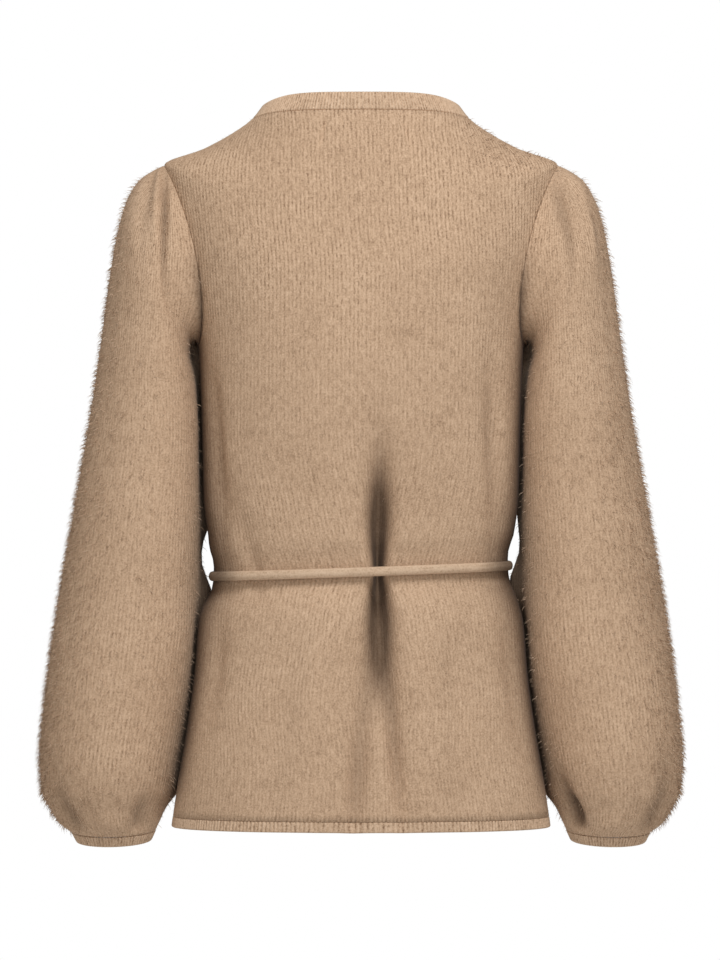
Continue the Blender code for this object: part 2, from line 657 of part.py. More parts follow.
def build_belt():
    """The knitted belt round the waist, from one side of its knot to the other."""
    start = float(angle_at_x(KNOT_SIZE[0] / 2 + SEAM_GAP, BELT_LINE))
    stations = np.linspace(start, math.pi - start, BELT_STATIONS)
    outwards = torso_normal(stations, belt_height(stations)) * (1, 1, 0)
    return tube("belt", belt_centre(stations), outwards, BELT_THICKNESS, BELT_HEIGHT)


def knot_centre():
    front = belt_centre(np.array(-math.pi / 2))
    return front + np.array([0, -(KNOT_SIZE[1] - BELT_THICKNESS) / 2 - KNOT_LIFT, 0])


def build_knot():
    """The belt's knot at the centre front, a rounded lump with flat sides where the belt goes in."""
    mesh = bmesh.new()
    bmesh.ops.create_cube(mesh, size=1)
    bmesh.ops.scale(mesh, vec=KNOT_SIZE, verts=mesh.verts)
    bmesh.ops.bevel(mesh, geom=mesh.edges[:], offset=KNOT_ROUNDING, segments=3, profile=0.5, affect="EDGES")
    bmesh.ops.recalc_face_normals(mesh, faces=mesh.faces)
    data = bpy.data.meshes.new("belt_knot")
    mesh.to_mesh(data)
    mesh.free()
    obj = add_object("belt_knot", data)
    obj.location = knot_centre()
    return obj


def belt_end_path(route):
    """Smooth route of one hanging belt end, laid on the cloth of the front."""
    x = np.array([p[0] for p in route]) * MM
    z = np.array([p[1] for p in route]) * MM
    t = np.linspace(0, len(route) - 1, BELT_END_STATIONS)
    stations = np.arange(len(route))
    path_x = smooth_curve(stations, x, t)
    path_z = smooth_curve(stations, z, t)
    cloth = torso_points(angle_at_x(path_x, path_z), path_z, 0)
    on_cloth = cloth[:, 1] - BELT_END_DIAMETER / 2 - 1.1 * MM
    knot_y = knot_centre()[1] - 1 * MM
    hold = 1 - smooth_step(t / 3)
    return np.stack([path_x, on_cloth * (1 - hold) + np.minimum(knot_y, on_cloth) * hold, path_z], axis=-1)


def build_belt_end(name, route):
    points = belt_end_path(route)
    outwards = np.repeat([[0.0, -1.0, 0.0]], len(points), axis=0)
    return tube(name, points, outwards, BELT_END_DIAMETER, BELT_END_DIAMETER)


def main():
    for obj in list(bpy.data.objects):
        bpy.data.objects.remove(obj)
    heights = panel_heights()
    knitted = [
        build_back(heights),
        build_front("front_left", 1, heights),
        build_front("front_right", -1, heights),
        build_sleeve("sleeve_left", 1),
        build_sleeve("sleeve_right", -1),
    ]
    ribbed = [
        *build_hem_bands(),
        build_neckband(heights),
        build_front_band("front_band_left", 1, heights),
        build_front_band("front_band_right", -1, heights),
        build_cuff("cuff_left", 1),
        build_cuff("cuff_right", -1),
    ]
    tied = [
        build_belt(),
        build_knot(),
        build_belt_end("belt_end_left", LEFT_END_ROUTE),
        build_belt_end("belt_end_right", RIGHT_END_ROUTE),
    ]
    for group, colour in ((knitted, KNIT_COLOUR), (ribbed, RIB_COLOUR), (tied, BELT_COLOUR)):
        for obj in group:
            paint(obj, colour, CLOTH_ROUGHNESS)


main()
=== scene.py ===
# A brushed-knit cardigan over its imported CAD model: knitted panels, ribbed edges, pile and a tied belt.
# Metres, +Z up. The wearer faces -Y, and +X is the wearer's left side.
import math

import bpy
import numpy as np
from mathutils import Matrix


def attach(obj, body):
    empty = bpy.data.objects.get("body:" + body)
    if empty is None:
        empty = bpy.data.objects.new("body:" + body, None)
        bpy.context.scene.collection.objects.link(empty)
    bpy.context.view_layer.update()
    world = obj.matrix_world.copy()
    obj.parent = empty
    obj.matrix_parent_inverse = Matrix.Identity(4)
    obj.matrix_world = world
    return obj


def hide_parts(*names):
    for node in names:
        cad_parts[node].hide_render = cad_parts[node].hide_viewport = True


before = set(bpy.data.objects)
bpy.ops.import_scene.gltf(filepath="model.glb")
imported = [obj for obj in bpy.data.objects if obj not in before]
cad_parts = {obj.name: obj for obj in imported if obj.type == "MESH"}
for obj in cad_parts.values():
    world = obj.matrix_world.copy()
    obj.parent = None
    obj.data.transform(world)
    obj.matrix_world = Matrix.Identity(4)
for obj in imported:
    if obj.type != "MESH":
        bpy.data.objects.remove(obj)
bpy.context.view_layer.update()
mm = 0.001
rng = np.random.default_rng(7)

# camera

camera = {
    "pixel": 0.9 * mm,  # size of a photo pixel at the middle of the garment
    "imageSize": (720, 960),  # pixels; the sensor spans the longer side
    "distance": 6.0,
    "aim": (0.9 * mm, -325.4 * mm),  # x and z of the photo's middle
}


def makeCamera():
    data = bpy.data.cameras.new("camera")
    data.sensor_width = 36
    data.lens = data.sensor_width * camera["distance"] / (max(camera["imageSize"]) * camera["pixel"])
    data.clip_end = 100
    obj = bpy.data.objects.new("camera", data)
    obj.location = (camera["aim"][0], camera["distance"], camera["aim"][1])
    obj.rotation_euler = (math.radians(90), 0, math.radians(180))
    bpy.context.scene.collection.objects.link(obj)
    bpy.context.scene.camera = obj


makeCamera()
print("camera made")

# shape of the cloth


# monotone cubic curve through (stations, values), read at the stations in at
def smoothCurve(stations, values, at):
    x = np.asarray(stations, float)
    y = np.asarray(values, float)
    at = np.clip(np.asarray(at, float), x[0], x[-1])
    step = np.diff(x)
    rise = np.diff(y) / step
    slope = np.zeros(len(x))
    slope[0], slope[-1] = rise[0], rise[-1]
    for i in range(1, len(x) - 1):
        if rise[i - 1] * rise[i] > 0:
            near = 2 * step[i] + step[i - 1]
            far = step[i] + 2 * step[i - 1]
            slope[i] = (near + far) / (near / rise[i - 1] + far / rise[i])
    i = np.clip(np.searchsorted(x, at, side="right") - 1, 0, len(step) - 1)
    t = (at - x[i]) / step[i]
    start = (1 + 2 * t) * (1 - t) ** 2 * y[i] + t * (1 - t) ** 2 * step[i] * slope[i]
    end = t**2 * (3 - 2 * t) * y[i + 1] + t**2 * (t - 1) * step[i] * slope[i + 1]
    return start + end


def smoothStep(t):
    t = np.clip(t, 0, 1)
    return t * t * (3 - 2 * t)


def unit(v):
    return v / np.maximum(np.linalg.norm(v, axis=-1, keepdims=True), 1e-12)


def tableReader(rows, names, stations):
    table = np.array(rows, float)

    def read(at):
        return {name: smoothCurve(stations, table[:, i], at) for i, name in enumerate(names)}

    return read


knit = {
    "cloth": 4.5 * mm,  # CAD thickness of the cloth
    "seamGap": 0.3 * mm,
    "seamRadius": 150 * mm,
    "layerGap": 0.6 * mm,
    "walePitch": 3.7 * mm,  # one column of stitches
    "coursePitch": 3.0 * mm,
    "waleRelief": 0.75 * mm,
    "napOver": 0.5 * mm,  # how far the modelled skin lies inside the CAD skin, where the pile stands
}

torso = {
    "columns": (
        "backHeight", "sideHeight", "frontHeight",
        "halfWidth", "backDepth", "frontDepth",
        "backRise", "frontRise", "squareness",
    ),
    # rings that lie level: height, half width, depth at the back and in front
    "level": (
        (-637, 171, 116, 112),  # hem edge
        (-595, 165, 112, 109),
        (-545, 156.5, 106, 105),
        (-495, 150, 100, 102),
        (-452, 146.5, 95.5, 99.5),
        (-424, 139.5, 90, 96.5),
        (-407, 138, 89, 96),  # belt line
        (-385, 137.5, 89.3, 96.8),
        (-345, 142, 92.5, 101),
        (-300, 143.5, 97.5, 108),
        (-250, 145, 103, 115),
        (-205, 147, 106, 117),  # armpit
    ),
    "levelShape": (2, 2, 0.92),
    # rings that rise to the shoulders, with all columns
    "rising": (
        (-142, -126, -165, 162, 104, 108, 2, 2, 0.95),
        (-79, -42, -127, 178, 92, 91, 3, 2, 1.1),  # shoulder point
        (-37, -25, -101, 138, 80, 80, 3.5, 2.2, 1.04),
        (-16, -13, -88, 116, 73, 75, 4, 2.3, 0.98),
        (5, 0, -75, 98, 66, 70, 5, 2.4, 0.94),  # neck seam
        (24, 14, -57, 87, 59, 64, 5, 2.4, 0.92),  # top of the neckband
    ),
    "hemEdge": -637 * mm,
    "hemBand": 9.5 * mm,
    "armpit": -205 * mm,
    "shoulderPoint": -79 * mm,
    "neckSeam": 5 * mm,
    "neckbandTop": 24 * mm,
    "armholeBack": 25,  # degrees that the armhole cuts into the back
    "armholeFront": 34,
    "frontBand": 28 * mm,
    "beltLine": -407 * mm,
    "beltTilt": 0.035,
    "cinchDepth": 5 * mm,
    "cinchHalfHeight": 21 * mm,
    "pinch": (0.62, 26 * mm),  # how much narrower folds get at the belt, and how far above and below it
    # angles: 0 wearer's left, 90 centre back, 180 right, -90 centre front; push is outwards, in millimetres
    "foldColumns": ("top", "bottom", "topAngle", "bottomAngle", "halfWidth", "push"),
    "folds": (
        (-230, -575, 95.5, 96, 12, -19),  # deep centre-back fold
        (-340, -700, 84, 67, 18, 7),
        (-340, -700, 111, 114, 18, 7),
        (-460, -700, 92.5, 86, 9, -7),
        (-450, -670, 98, 101.5, 9, -7),
        (-190, -420, 24, 27, 12, -7),
        (-170, -420, 140, 152, 13, -9),
        (-300, -450, 28, 55, 17, -4),
        (-410, -575, 32, 28, 14, -6),
        (-410, -605, 150, 157, 14, -6),
        (-265, -545, -52, -50, 14, -9),
        (-275, -535, -128, -130, 14, -9),
        (-295, -565, -68, -64, 14, 4),
        (-295, -565, -112, -116, 14, 4),
        (-190, -410, -28, -26, 13, -6),
        (-190, -410, -152, -154, 13, -6),
    ),
    # creases too narrow for the solids: same columns
    "creases": (
        (-262, -500, 95.6, 95.8, 9, -12),  # bottom of the centre-back fold above the belt
        (-380, -565, 95.6, 94.2, 13, -12),  # and below it
        (-430, -760, 92, 86, 7, -5),
        (-430, -700, 97, 102, 6, -5),
        (-30, -96, 0, 0, 26, -1.2),  # shoulder ends, level with the sleeve heads
        (-30, -96, 180, 180, 26, -1.2),
        (8, -36, 73.5, 73.5, 2, -2.6),  # two short impressions below the neckband
        (8, -36, 110.5, 110.5, 2, -2.6),
    ),
    # painted shade deep in the folds: none above lightDepth, fullest at darkAt
    "darkAt": 17 * mm,  # depth of a fold whose bottom is as dark as a fold gets
    "lightDepth": 4 * mm,  # depth that stays light
    "foldPaintedShade": 0.82,
    # painted shade of the side that lies against the sleeve, wider at the belt, and of the armhole's seam
    "pressed": {
        "dark": 0.95, "halfWidth": 34 * mm, "wider": 0.4, "beltReach": 60 * mm,
        "top": -160 * mm, "bottom": -632 * mm, "fade": 50 * mm,
    },
    "seamPaintedShade": {
        "dark": 0.8, "halfWidth": 5 * mm, "top": -120 * mm, "fade": 60 * mm,
        "radius": 135 * mm, "bottomFade": 8 * mm,
    },
}

sleeve = {
    "columns": ("outerX", "outerZ", "innerX", "innerZ", "halfDepth", "centreY", "backDrop"),
    "sections": (
        (178, -42, 147, -205, 50, 2, 0),  # armhole seam
        (188, -47, 149.5, -200.5, 52, 2, 0),
        (200, -55.5, 153, -205, 54, 1, 0),
        (212, -76, 152.5, -216, 56, 0, 0),
        (220, -105, 148, -231, 58, -1, 0),
        (226.5, -142, 144, -251, 59, -2, 0),
        (235, -205, 141, -288, 60, -4, 0),
        (246, -278, 141.5, -337, 61, -7, 0),
        (259, -353, 143.5, -395, 63, -9, 0),
        (273, -435, 144, -458, 66, -12, 0),
        (285, -520, 152, -528, 69, -16, 0),
        (290, -575, 161, -577, 67, -18, 0),  # fullest part of the balloon
        (288.5, -605, 167.5, -605, 60, -19, 1),
        (281, -622, 175, -620, 51, -20, 2),
        (272.5, -635, 180, -631, 43, -20, 4),
        (262, -642.5, 184.5, -640.5, 34, -20, 5),  # cuff seam
    ),
    "fadeRows": 4,  # sections over which the sleeve leaves the armhole's outline
    "clearance": 1.2 * mm,
    "softness": 3 * mm,
    # angles: 0 outer side, 90 back; side 1 is the wearer's left sleeve, -1 the right one, 0 both;
    # top and bottom count the rows of sections
    "foldColumns": ("side", "top", "bottom", "topAngle", "bottomAngle", "halfWidth", "push"),
    "folds": (
        (1, -0.6, 3.8, 6, 122, 7, -7),  # pleats of the sleeve head
        (1, -0.6, 3.4, -10, 92, 7, 4),
        (1, -0.4, 4.4, 4, 78, 9, -2),
        (-1, -0.8, 4.8, 24, 96, 9, -4.5),
        (-1, -0.8, 5.6, 8, 58, 10, 3.5),
        (-1, 0.5, 4.6, 40, 30, 9, -3),
        (0, -0.8, 6.0, -20, -80, 8, -4.5),
        (0, -0.8, 5.0, -4, -50, 9, 3.5),
        (1, 11.4, 15.8, 126, 128, 9, -5),  # dents above the cuff
        (1, 10.8, 15.6, 42, 50, 10, -5),
        (-1, 10.8, 15.6, 142, 134, 10, -13),
        (-1, 10.4, 15.4, 40, 44, 11, -5),
        (0, 11.6, 15.8, 86, 92, 12, 2.5),
        (0, 11.2, 15.8, -50, -60, 9, -5),
        (0, 11.4, 15.8, -125, -130, 9, -5),
    ),
    # rolls of the inner side that lie in front of the body's side and close the slot: same columns
    "rolls": (
        (0, 0.6, 5.6, -152, -150, 20, 6),
        (0, 0.9, 8.3, -150, -152, 20, 9),
        (0, 4.6, 9.2, -150, -152, 20, 6),
        (0, 8.35, 13.6, -152, -150, 24, 13),
        (1, 6.9, 7.9, -165, -165, 14, 6),
        (1, 8.0, 9.25, -165, -165, 16, 12),
        (-1, 7.8, 9.1, -165, -165, 16, 12),
    ),
    # painted shade of the inner side, with the rows over which it comes and goes, of the seam and of a dent
    "pressed": {"dark": 0.6, "halfWidth": 11 * mm, "first": 1.0, "come": 3, "last": 13.2, "go": 1.6},
    "seamPaintedShadeRows": 0.8,
    "dentPaintedShade": 11 * mm,
}

torsoRings = [(row[0], row[0], *row, *torso["levelShape"]) for row in torso["level"]] + [*torso["rising"]]
readTorso = tableReader(torsoRings, torso["columns"], np.array([row[0] for row in torsoRings]) * mm)
lastRow = len(sleeve["sections"]) - 1
readSleeve = tableReader(sleeve["sections"], sleeve["columns"], np.arange(lastRow + 1))
armholeMiddle = (torso["armpit"] + torso["shoulderPoint"]) / 2
armholeHalf = (torso["shoulderPoint"] - torso["armpit"]) / 2


def depthAt(ring, atBack):
    return np.where(atBack, ring["backDepth"], ring["frontDepth"])


# point of the body's skin without folds, for an angle in radians and a height up the centre back
def torsoBase(angle, height):
    ring = readTorso(height)
    cosine, sine = np.cos(angle), np.sin(angle)
    atBack = sine >= 0
    depth = depthAt(ring, atBack) * mm
    middle = np.where(atBack, ring["backHeight"], ring["frontHeight"]) * mm
    rise = np.where(atBack, ring["backRise"], ring["frontRise"])
    side = ring["sideHeight"] * mm
    x = ring["halfWidth"] * mm * np.sign(cosine) * np.abs(cosine) ** ring["squareness"]
    y = depth * np.sign(sine) * np.abs(sine) ** ring["squareness"]
    z = middle + (side - middle) * np.abs(cosine) ** rise
    return np.stack([x, y, z], axis=-1)


def torsoNormal(angle, height, turn=math.radians(2), reach=16 * mm):
    low = np.minimum(height, torso["neckbandTop"] - reach)
    along = torsoBase(angle + turn, height) - torsoBase(angle - turn, height)
    up = torsoBase(angle, low + reach) - torsoBase(angle, low)
    return unit(np.cross(along, up))


# outward push of one fold at a share of its course, on a ring with these half axes in millimetres
def foldLift(fold, share, angle, wide, deep):
    course = math.radians(fold["topAngle"]) + share * math.radians(fold["bottomAngle"] - fold["topAngle"])
    away = (angle - course + math.pi) % (2 * math.pi) - math.pi
    arc = away * np.hypot(wide * np.sin(course), deep * np.cos(course))
    fading = np.sin(math.pi * np.clip(share, 0, 1)) ** 2
    return fold["push"] * mm * fading * np.exp(-((arc / fold["halfWidth"]) ** 2))


def beltHeight(angle):
    return torso["beltLine"] - torso["beltTilt"] * torsoBase(angle, torso["beltLine"] + 0 * angle)[..., 0]


def bodyPush(angle, height):
    ring = readTorso(height)
    depth = depthAt(ring, np.sin(angle) >= 0)
    fromBelt = np.exp(-(((height - beltHeight(angle)) / torso["cinchHalfHeight"]) ** 4))
    most, reach = torso["pinch"]
    wider = 1 / (1 - most * np.exp(-(((height - beltHeight(angle)) / reach) ** 2)))
    push = 0
    for row in (*torso["folds"], *torso["creases"]):
        fold = dict(zip(torso["foldColumns"], row))
        share = (height / mm - fold["top"]) / (fold["bottom"] - fold["top"])
        lift = foldLift(fold, share, angle, ring["halfWidth"] * wider, depth * wider)
        push = push + (lift * (1 - fromBelt) if fold["push"] > 0 else lift)
    return push - torso["cinchDepth"] * fromBelt


# painted shade, from 0 to 1, that darkens the cloth's colour deep in the folds, where the sleeves are
# pressed against the sides and along the armhole's seam
def bodyPaintedShade(angle, height):
    ring = readTorso(height)
    inFold = np.clip(-(bodyPush(angle, height) + torso["lightDepth"]) / torso["darkAt"], 0, 1)
    atBack = np.sin(angle) >= 0
    turn = np.arcsin(np.abs(np.sin(angle)))
    side, seam = torso["pressed"], torso["seamPaintedShade"]
    atBelt = np.exp(-(((height - torso["beltLine"]) / side["beltReach"]) ** 2))
    fromSide = turn * depthAt(ring, atBack) * mm / (side["halfWidth"] * (1 + side["wider"] * atBelt))
    fromEnd = np.minimum(side["top"] - height, height - side["bottom"])
    beside = side["dark"] * np.exp(-(fromSide ** 3)) * smoothStep(fromEnd / side["fade"])
    fromSeam = (turn - armholeAngle(height, torso["armholeBack"])) * seam["radius"] / seam["halfWidth"]
    along = smoothStep((seam["top"] - height) / seam["fade"])
    along = along * smoothStep((height - torso["armpit"]) / seam["bottomFade"] + 1) * atBack
    atSeam = seam["dark"] * np.exp(-(fromSeam ** 2)) * along
    return np.clip(inFold ** 1.3 * torso["foldPaintedShade"] + beside + atSeam, 0, 1)


# points of the body's cloth; depth goes inwards from its outer face, layer says how far it is tucked under
def torsoPoints(angle, height, depth, layer=0):
    out = bodyPush(angle, height) - depth - layer
    return torsoBase(angle, height) + torsoNormal(angle, height) * out[..., None]


def angleAtX(x, height):
    ring = readTorso(height)
    share = x / (ring["halfWidth"] * mm)
    return -np.arccos(np.sign(share) * np.abs(share) ** (1 / ring["squareness"]))


# the left front, with its neckband and hem, runs under the right one near the centre front
def underLayer(angle, height):
    x = readTorso(height)["halfWidth"] * mm * np.cos(angle)
    overlap = torso["frontBand"] / 2
    return (knit["cloth"] + knit["layerGap"]) * smoothStep((3.4 * overlap - x) / (2.2 * overlap))


def armholeAngle(height, widest):
    t = (height - armholeMiddle) / armholeHalf
    return math.radians(widest) * np.sqrt(np.clip(1 - t**2, 0, 1))


def sleeveEllipse(row, angle):
    ring = readSleeve(row)
    cosine, sine = np.cos(angle), np.sin(angle)
    outer = np.stack([ring["outerX"], 0 * row, ring["outerZ"]], axis=-1) * mm
    inner = np.stack([ring["innerX"], 0 * row, ring["innerZ"]], axis=-1) * mm
    centre = (outer + inner) / 2
    centre[..., 1] = (ring["centreY"] + ring["halfDepth"] * sine) * mm
    centre[..., 2] -= ring["backDrop"] * mm * sine
    return centre + (outer - inner) / 2 * cosine[..., None]


def sleeveBase(row, angle):
    fade = 1 - smoothStep(row / sleeve["fadeRows"])
    toSeam = armholeSeam(angle) - sleeveEllipse(0 * row, angle)
    return besideBody(sleeveEllipse(row, angle) + toSeam * fade[..., None])


# the sleeve's inner side is flattened where it lies against the body below the armpit
def besideBody(points):
    x, y, z = points[..., 0], points[..., 1], points[..., 2]
    ring = readTorso(np.minimum(z, torso["armpit"]))
    depth = depthAt(ring, y >= 0) * mm
    sine = np.clip(np.abs(y) / depth, 0, 1) ** (1 / ring["squareness"])
    bodyX = ring["halfWidth"] * mm * np.sqrt(1 - sine**2) ** ring["squareness"]
    spare = x - bodyX - sleeve["clearance"]
    moved = points.copy()
    below = np.clip((torso["armpit"] - z) / (10 * mm), 0, 1)
    moved[..., 0] += below * (np.hypot(spare, sleeve["softness"]) - spare) / 2
    return moved


# turn of the armhole's edge from the body's side
def armholeTurn(angle):
    widest = np.where(np.sin(angle) >= 0, torso["armholeBack"], torso["armholeFront"])
    return np.radians(widest) * np.sin(angle)


def armholeSeam(angle):
    gap = knit["seamGap"]
    turn = armholeTurn(angle)
    turn = turn - np.sign(turn) * np.minimum(np.abs(turn), gap / knit["seamRadius"])
    return torsoBase(turn, armholeMiddle + (armholeHalf - gap) * np.cos(angle))


def sleeveNormal(row, angle, turn=math.radians(3), step=0.35):
    down = sleeveBase(np.minimum(row + step, lastRow), angle) - sleeveBase(np.maximum(row - step, 0), angle)
    normal = unit(np.cross(down, sleeveBase(row, angle + turn) - sleeveBase(row, angle - turn)))
    height = armholeMiddle + armholeHalf * np.cos(angle)
    atSeam = (1 - smoothStep(row))[..., None]
    return unit(normal * (1 - atSeam) + torsoNormal(armholeTurn(angle), height) * atSeam)


def sleevePush(row, angle, side):
    ring = readSleeve(row)
    reach = np.hypot(ring["outerX"] - ring["innerX"], ring["outerZ"] - ring["innerZ"]) / 2
    push = 0
    for line in (*sleeve["folds"], *sleeve["rolls"]):
        fold = dict(zip(sleeve["foldColumns"], line))
        if fold["side"] == -side:
            continue
        share = (row - fold["top"]) / (fold["bottom"] - fold["top"])
        push = push + foldLift(fold, share, angle, reach, ring["halfDepth"])
    return push * smoothStep(row) * smoothStep(lastRow - row)


# painted shade of a sleeve, from 0 to 1: in its dents, on its inner side against the body and along the
# armhole's seam
def sleevePaintedShade(row, angle, side):
    ring = readSleeve(row)
    inFold = np.clip(-sleevePush(row, angle, side) / sleeve["dentPaintedShade"], 0, 1) * torso["foldPaintedShade"]
    inner, seam = sleeve["pressed"], torso["seamPaintedShade"]
    fromInside = np.abs(angle % (2 * math.pi) - math.pi) * ring["halfDepth"] * mm / inner["halfWidth"]
    beside = inner["dark"] * np.exp(-(fromInside ** 2)) * smoothStep((row - inner["first"]) / inner["come"])
    beside = beside * smoothStep((inner["last"] - row) / inner["go"])
    height = armholeMiddle + armholeHalf * np.cos(angle)
    atSeam = seam["dark"] * smoothStep((seam["top"] - height) / seam["fade"])
    return np.clip(inFold + beside + atSeam * np.exp(-((row / sleeve["seamPaintedShadeRows"]) ** 2)), 0, 1)


# points of one sleeve's cloth, mirrored for the right one
def sleevePoints(row, angle, depth, side):
    out = sleevePush(row, angle, side) - depth
    points = sleeveBase(row, angle) + sleeveNormal(row, angle) * out[..., None]
    return points * np.array([side, 1, 1])


# meshes


def addMesh(name, points, faces, uvs=None):
    data = bpy.data.meshes.new(name)
    sizes = np.concatenate([np.full(len(f), f.shape[1]) for f in faces])
    corners = np.concatenate([f.ravel() for f in faces])
    data.vertices.add(len(points))
    data.vertices.foreach_set("co", np.asarray(points, np.float32).ravel())
    data.loops.add(len(corners))
    data.loops.foreach_set("vertex_index", corners.astype(np.int32))
    data.polygons.add(len(sizes))
    data.polygons.foreach_set("loop_start", (np.cumsum(sizes) - sizes).astype(np.int32))
    data.polygons.foreach_set("loop_total", sizes.astype(np.int32))
    if uvs is not None:
        layer = data.uv_layers.new(name="Knit")
        corners = np.concatenate([u.reshape(-1, 2) for u in uvs])
        layer.data.foreach_set("uv", corners.astype(np.float32).ravel())
    data.update(calc_edges=True)
    data.validate()
    data.shade_smooth()
    obj = bpy.data.objects.new(name, data)
    bpy.context.scene.collection.objects.link(obj)
    return obj


# faces of a grid of vertex numbers; a cell whose corners coincide becomes a triangle or nothing
def gridFaces(ids, flip):
    place = np.stack(np.indices((ids.shape[0] - 1, ids.shape[1] - 1)), -1).reshape(-1, 1, 2)
    place = place + np.array([(0, 0), (0, 1), (1, 1), (1, 0)])
    cell = ids[place[..., 0], place[..., 1]]
    if flip:
        cell, place = cell[:, ::-1], place[:, ::-1]
    same = cell == np.roll(cell, -1, axis=1)  # corner equal to the next one
    count = same.sum(axis=1)
    quads, quadPlace = cell[count == 0], place[count == 0]
    tris, triPlace = cell[count == 1], place[count == 1]
    keep = ~same[count == 1]
    tris = tris[keep].reshape(-1, 3)
    triPlace = triPlace[keep].reshape(-1, 3, 2)
    return [quads, tris], [quadPlace, triPlace]


# edges that only one face uses, in the direction of that face
def openEdges(faces):
    pairs = np.concatenate([np.stack([f, np.roll(f, -1, axis=1)], -1).reshape(-1, 2) for f in faces])
    big = pairs.max() + 1
    forward = pairs[:, 0] * big + pairs[:, 1]
    backward = pairs[:, 1] * big + pairs[:, 0]
    return pairs[~np.isin(forward, backward)]


# painted shade of each vertex, from 0 to 1, which the materials read
def paintShade(obj, values):
    layer = obj.data.attributes.new("Dark", "FLOAT", "POINT")
    layer.data.foreach_set("value", values.astype(np.float32))


# closed shell with an outer and an inner face over the same grid of vertex numbers
def clothShell(name, ids, outer, inner, uv, flip=False, dark=None):
    used, compact = np.unique(ids, return_inverse=True)
    ids = compact.reshape(ids.shape)
    outer, inner = outer.reshape(-1, 3)[used], inner.reshape(-1, 3)[used]
    count = len(used)
    faces, places = gridFaces(ids, flip)
    edges = openEdges(faces)
    backs = [f[:, ::-1] + count for f in faces]
    rim = np.stack([edges[:, 1], edges[:, 0], edges[:, 0] + count, edges[:, 1] + count], axis=-1)
    cornerUv = [uv[p[..., 0], p[..., 1]] for p in places]
    backUv = [u[:, ::-1] for u in cornerUv]
    rimUv = np.zeros((len(rim), 4, 2))
    obj = addMesh(name, np.concatenate([outer, inner]), [*faces, *backs, rim], [*cornerUv, *backUv, rimUv])
    # the outer skin carries the painted shade, the inner one none
    if dark is not None:
        paintShade(obj, np.concatenate([dark.reshape(-1)[used], np.zeros(count)]))
    return obj


# names pieces, ties them to the body that they ride on and hides the CAD parts of the nodes that they stand
# for
def dress(group, prefix):
    for name, piece in group.items():
        piece.name = prefix + name
        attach(piece, "root")
        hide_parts(name)
        print("made", piece.name, len(piece.data.polygons), "faces")


# knitted panels

panel = {
    "rowStep": 7.0 * mm,
    "armholeRows": 40,
    "hemGap": 0.04 * mm,  # seams too narrow to see light through
    "sideGap": 0.02 * mm,
    "waleOrigin": 95.7,  # degrees; the wales are counted from the centre-back fold
}


def panelHeights():
    low = torso["hemEdge"] + torso["hemBand"] + panel["hemGap"]
    lower = np.arange(low, torso["armpit"] - panel["rowStep"] / 2, panel["rowStep"])
    t = np.arange(panel["armholeRows"] + 1) / panel["armholeRows"]
    armhole = armholeMiddle - armholeHalf * np.cos(math.pi * t)
    top = torso["neckSeam"] - knit["seamGap"]
    upper = np.linspace(torso["shoulderPoint"], top, 14)[1:]
    return np.concatenate([lower, armhole, upper])


# horizontal arc along the folded cloth from the wale origin, for a row of angles at one height
def arcAlong(angles, height, origin):
    points = torsoPoints(angles, height + 0 * angles, 0)
    arc = np.concatenate([[0], np.cumsum(np.linalg.norm(np.diff(points[:, :2], axis=0), axis=1))])
    return arc - np.interp(origin, angles, arc)


# a panel whose mesh columns run along the wales, half a wale apart, and end at its edges
def knittedPanel(name, heights, first, last, origin, layered=False):
    half = knit["walePitch"] / 2
    rows = []
    for height, a, b in zip(heights, first, last):
        angles = np.linspace(a, b, 900)
        rows.append((angles, arcAlong(angles, height, origin) / half))
    low = math.floor(min(arc[0] for _, arc in rows))
    high = math.ceil(max(arc[-1] for _, arc in rows))
    columns = np.arange(low, high + 1)
    place = np.stack([np.clip(columns, arc[0], arc[-1]) for _, arc in rows])
    angle = np.stack([np.interp(at, arc, angles) for at, (angles, arc) in zip(place, rows)])
    height = np.repeat(heights[:, None], len(columns), axis=1)
    ids = np.arange(angle.size).reshape(angle.shape)
    for r, (_, arc) in enumerate(rows):
        start = np.searchsorted(columns, arc[0] + 0.4)
        stop = np.searchsorted(columns, arc[-1] - 0.4) - 1
        ids[r, :start] = ids[r, 0]
        ids[r, stop + 1:] = ids[r, -1]
    layer = underLayer(angle, height) if layered else 0
    inEdge = np.minimum(place - place[:, :1], place[:, -1:] - place)
    groove = knit["waleRelief"] * (columns % 2)[None, :] * np.clip(inEdge, 0, 1)
    outer = torsoPoints(angle, height, knit["napOver"] + groove, layer)
    inner = torsoPoints(angle, height, knit["cloth"], layer)
    uv = np.stack([place / 2, height / knit["coursePitch"]], axis=-1)
    return clothShell(name, ids, outer, inner, uv, dark=bodyPaintedShade(angle, height))


halfSeam = panel["sideGap"] / (100 * mm)
heights = panelHeights()


def makeBack():
    edge = armholeAngle(heights, torso["armholeBack"]) + halfSeam
    return knittedPanel("back", heights, edge, math.pi - edge, math.radians(panel["waleOrigin"]))


def makeFront(name, side):
    edge = -armholeAngle(heights, torso["armholeFront"]) - halfSeam
    edge = edge if side > 0 else -math.pi - edge
    centre = angleAtX(side * (torso["frontBand"] / 2 + knit["seamGap"]), heights)
    first, last = (centre, edge) if side > 0 else (edge, centre)
    origin = float(centre[20])
    return knittedPanel(name, heights, first, last, origin, layered=side > 0)


sleevePanel = {"wales": 110, "rows": 96, "relief": 0.5}


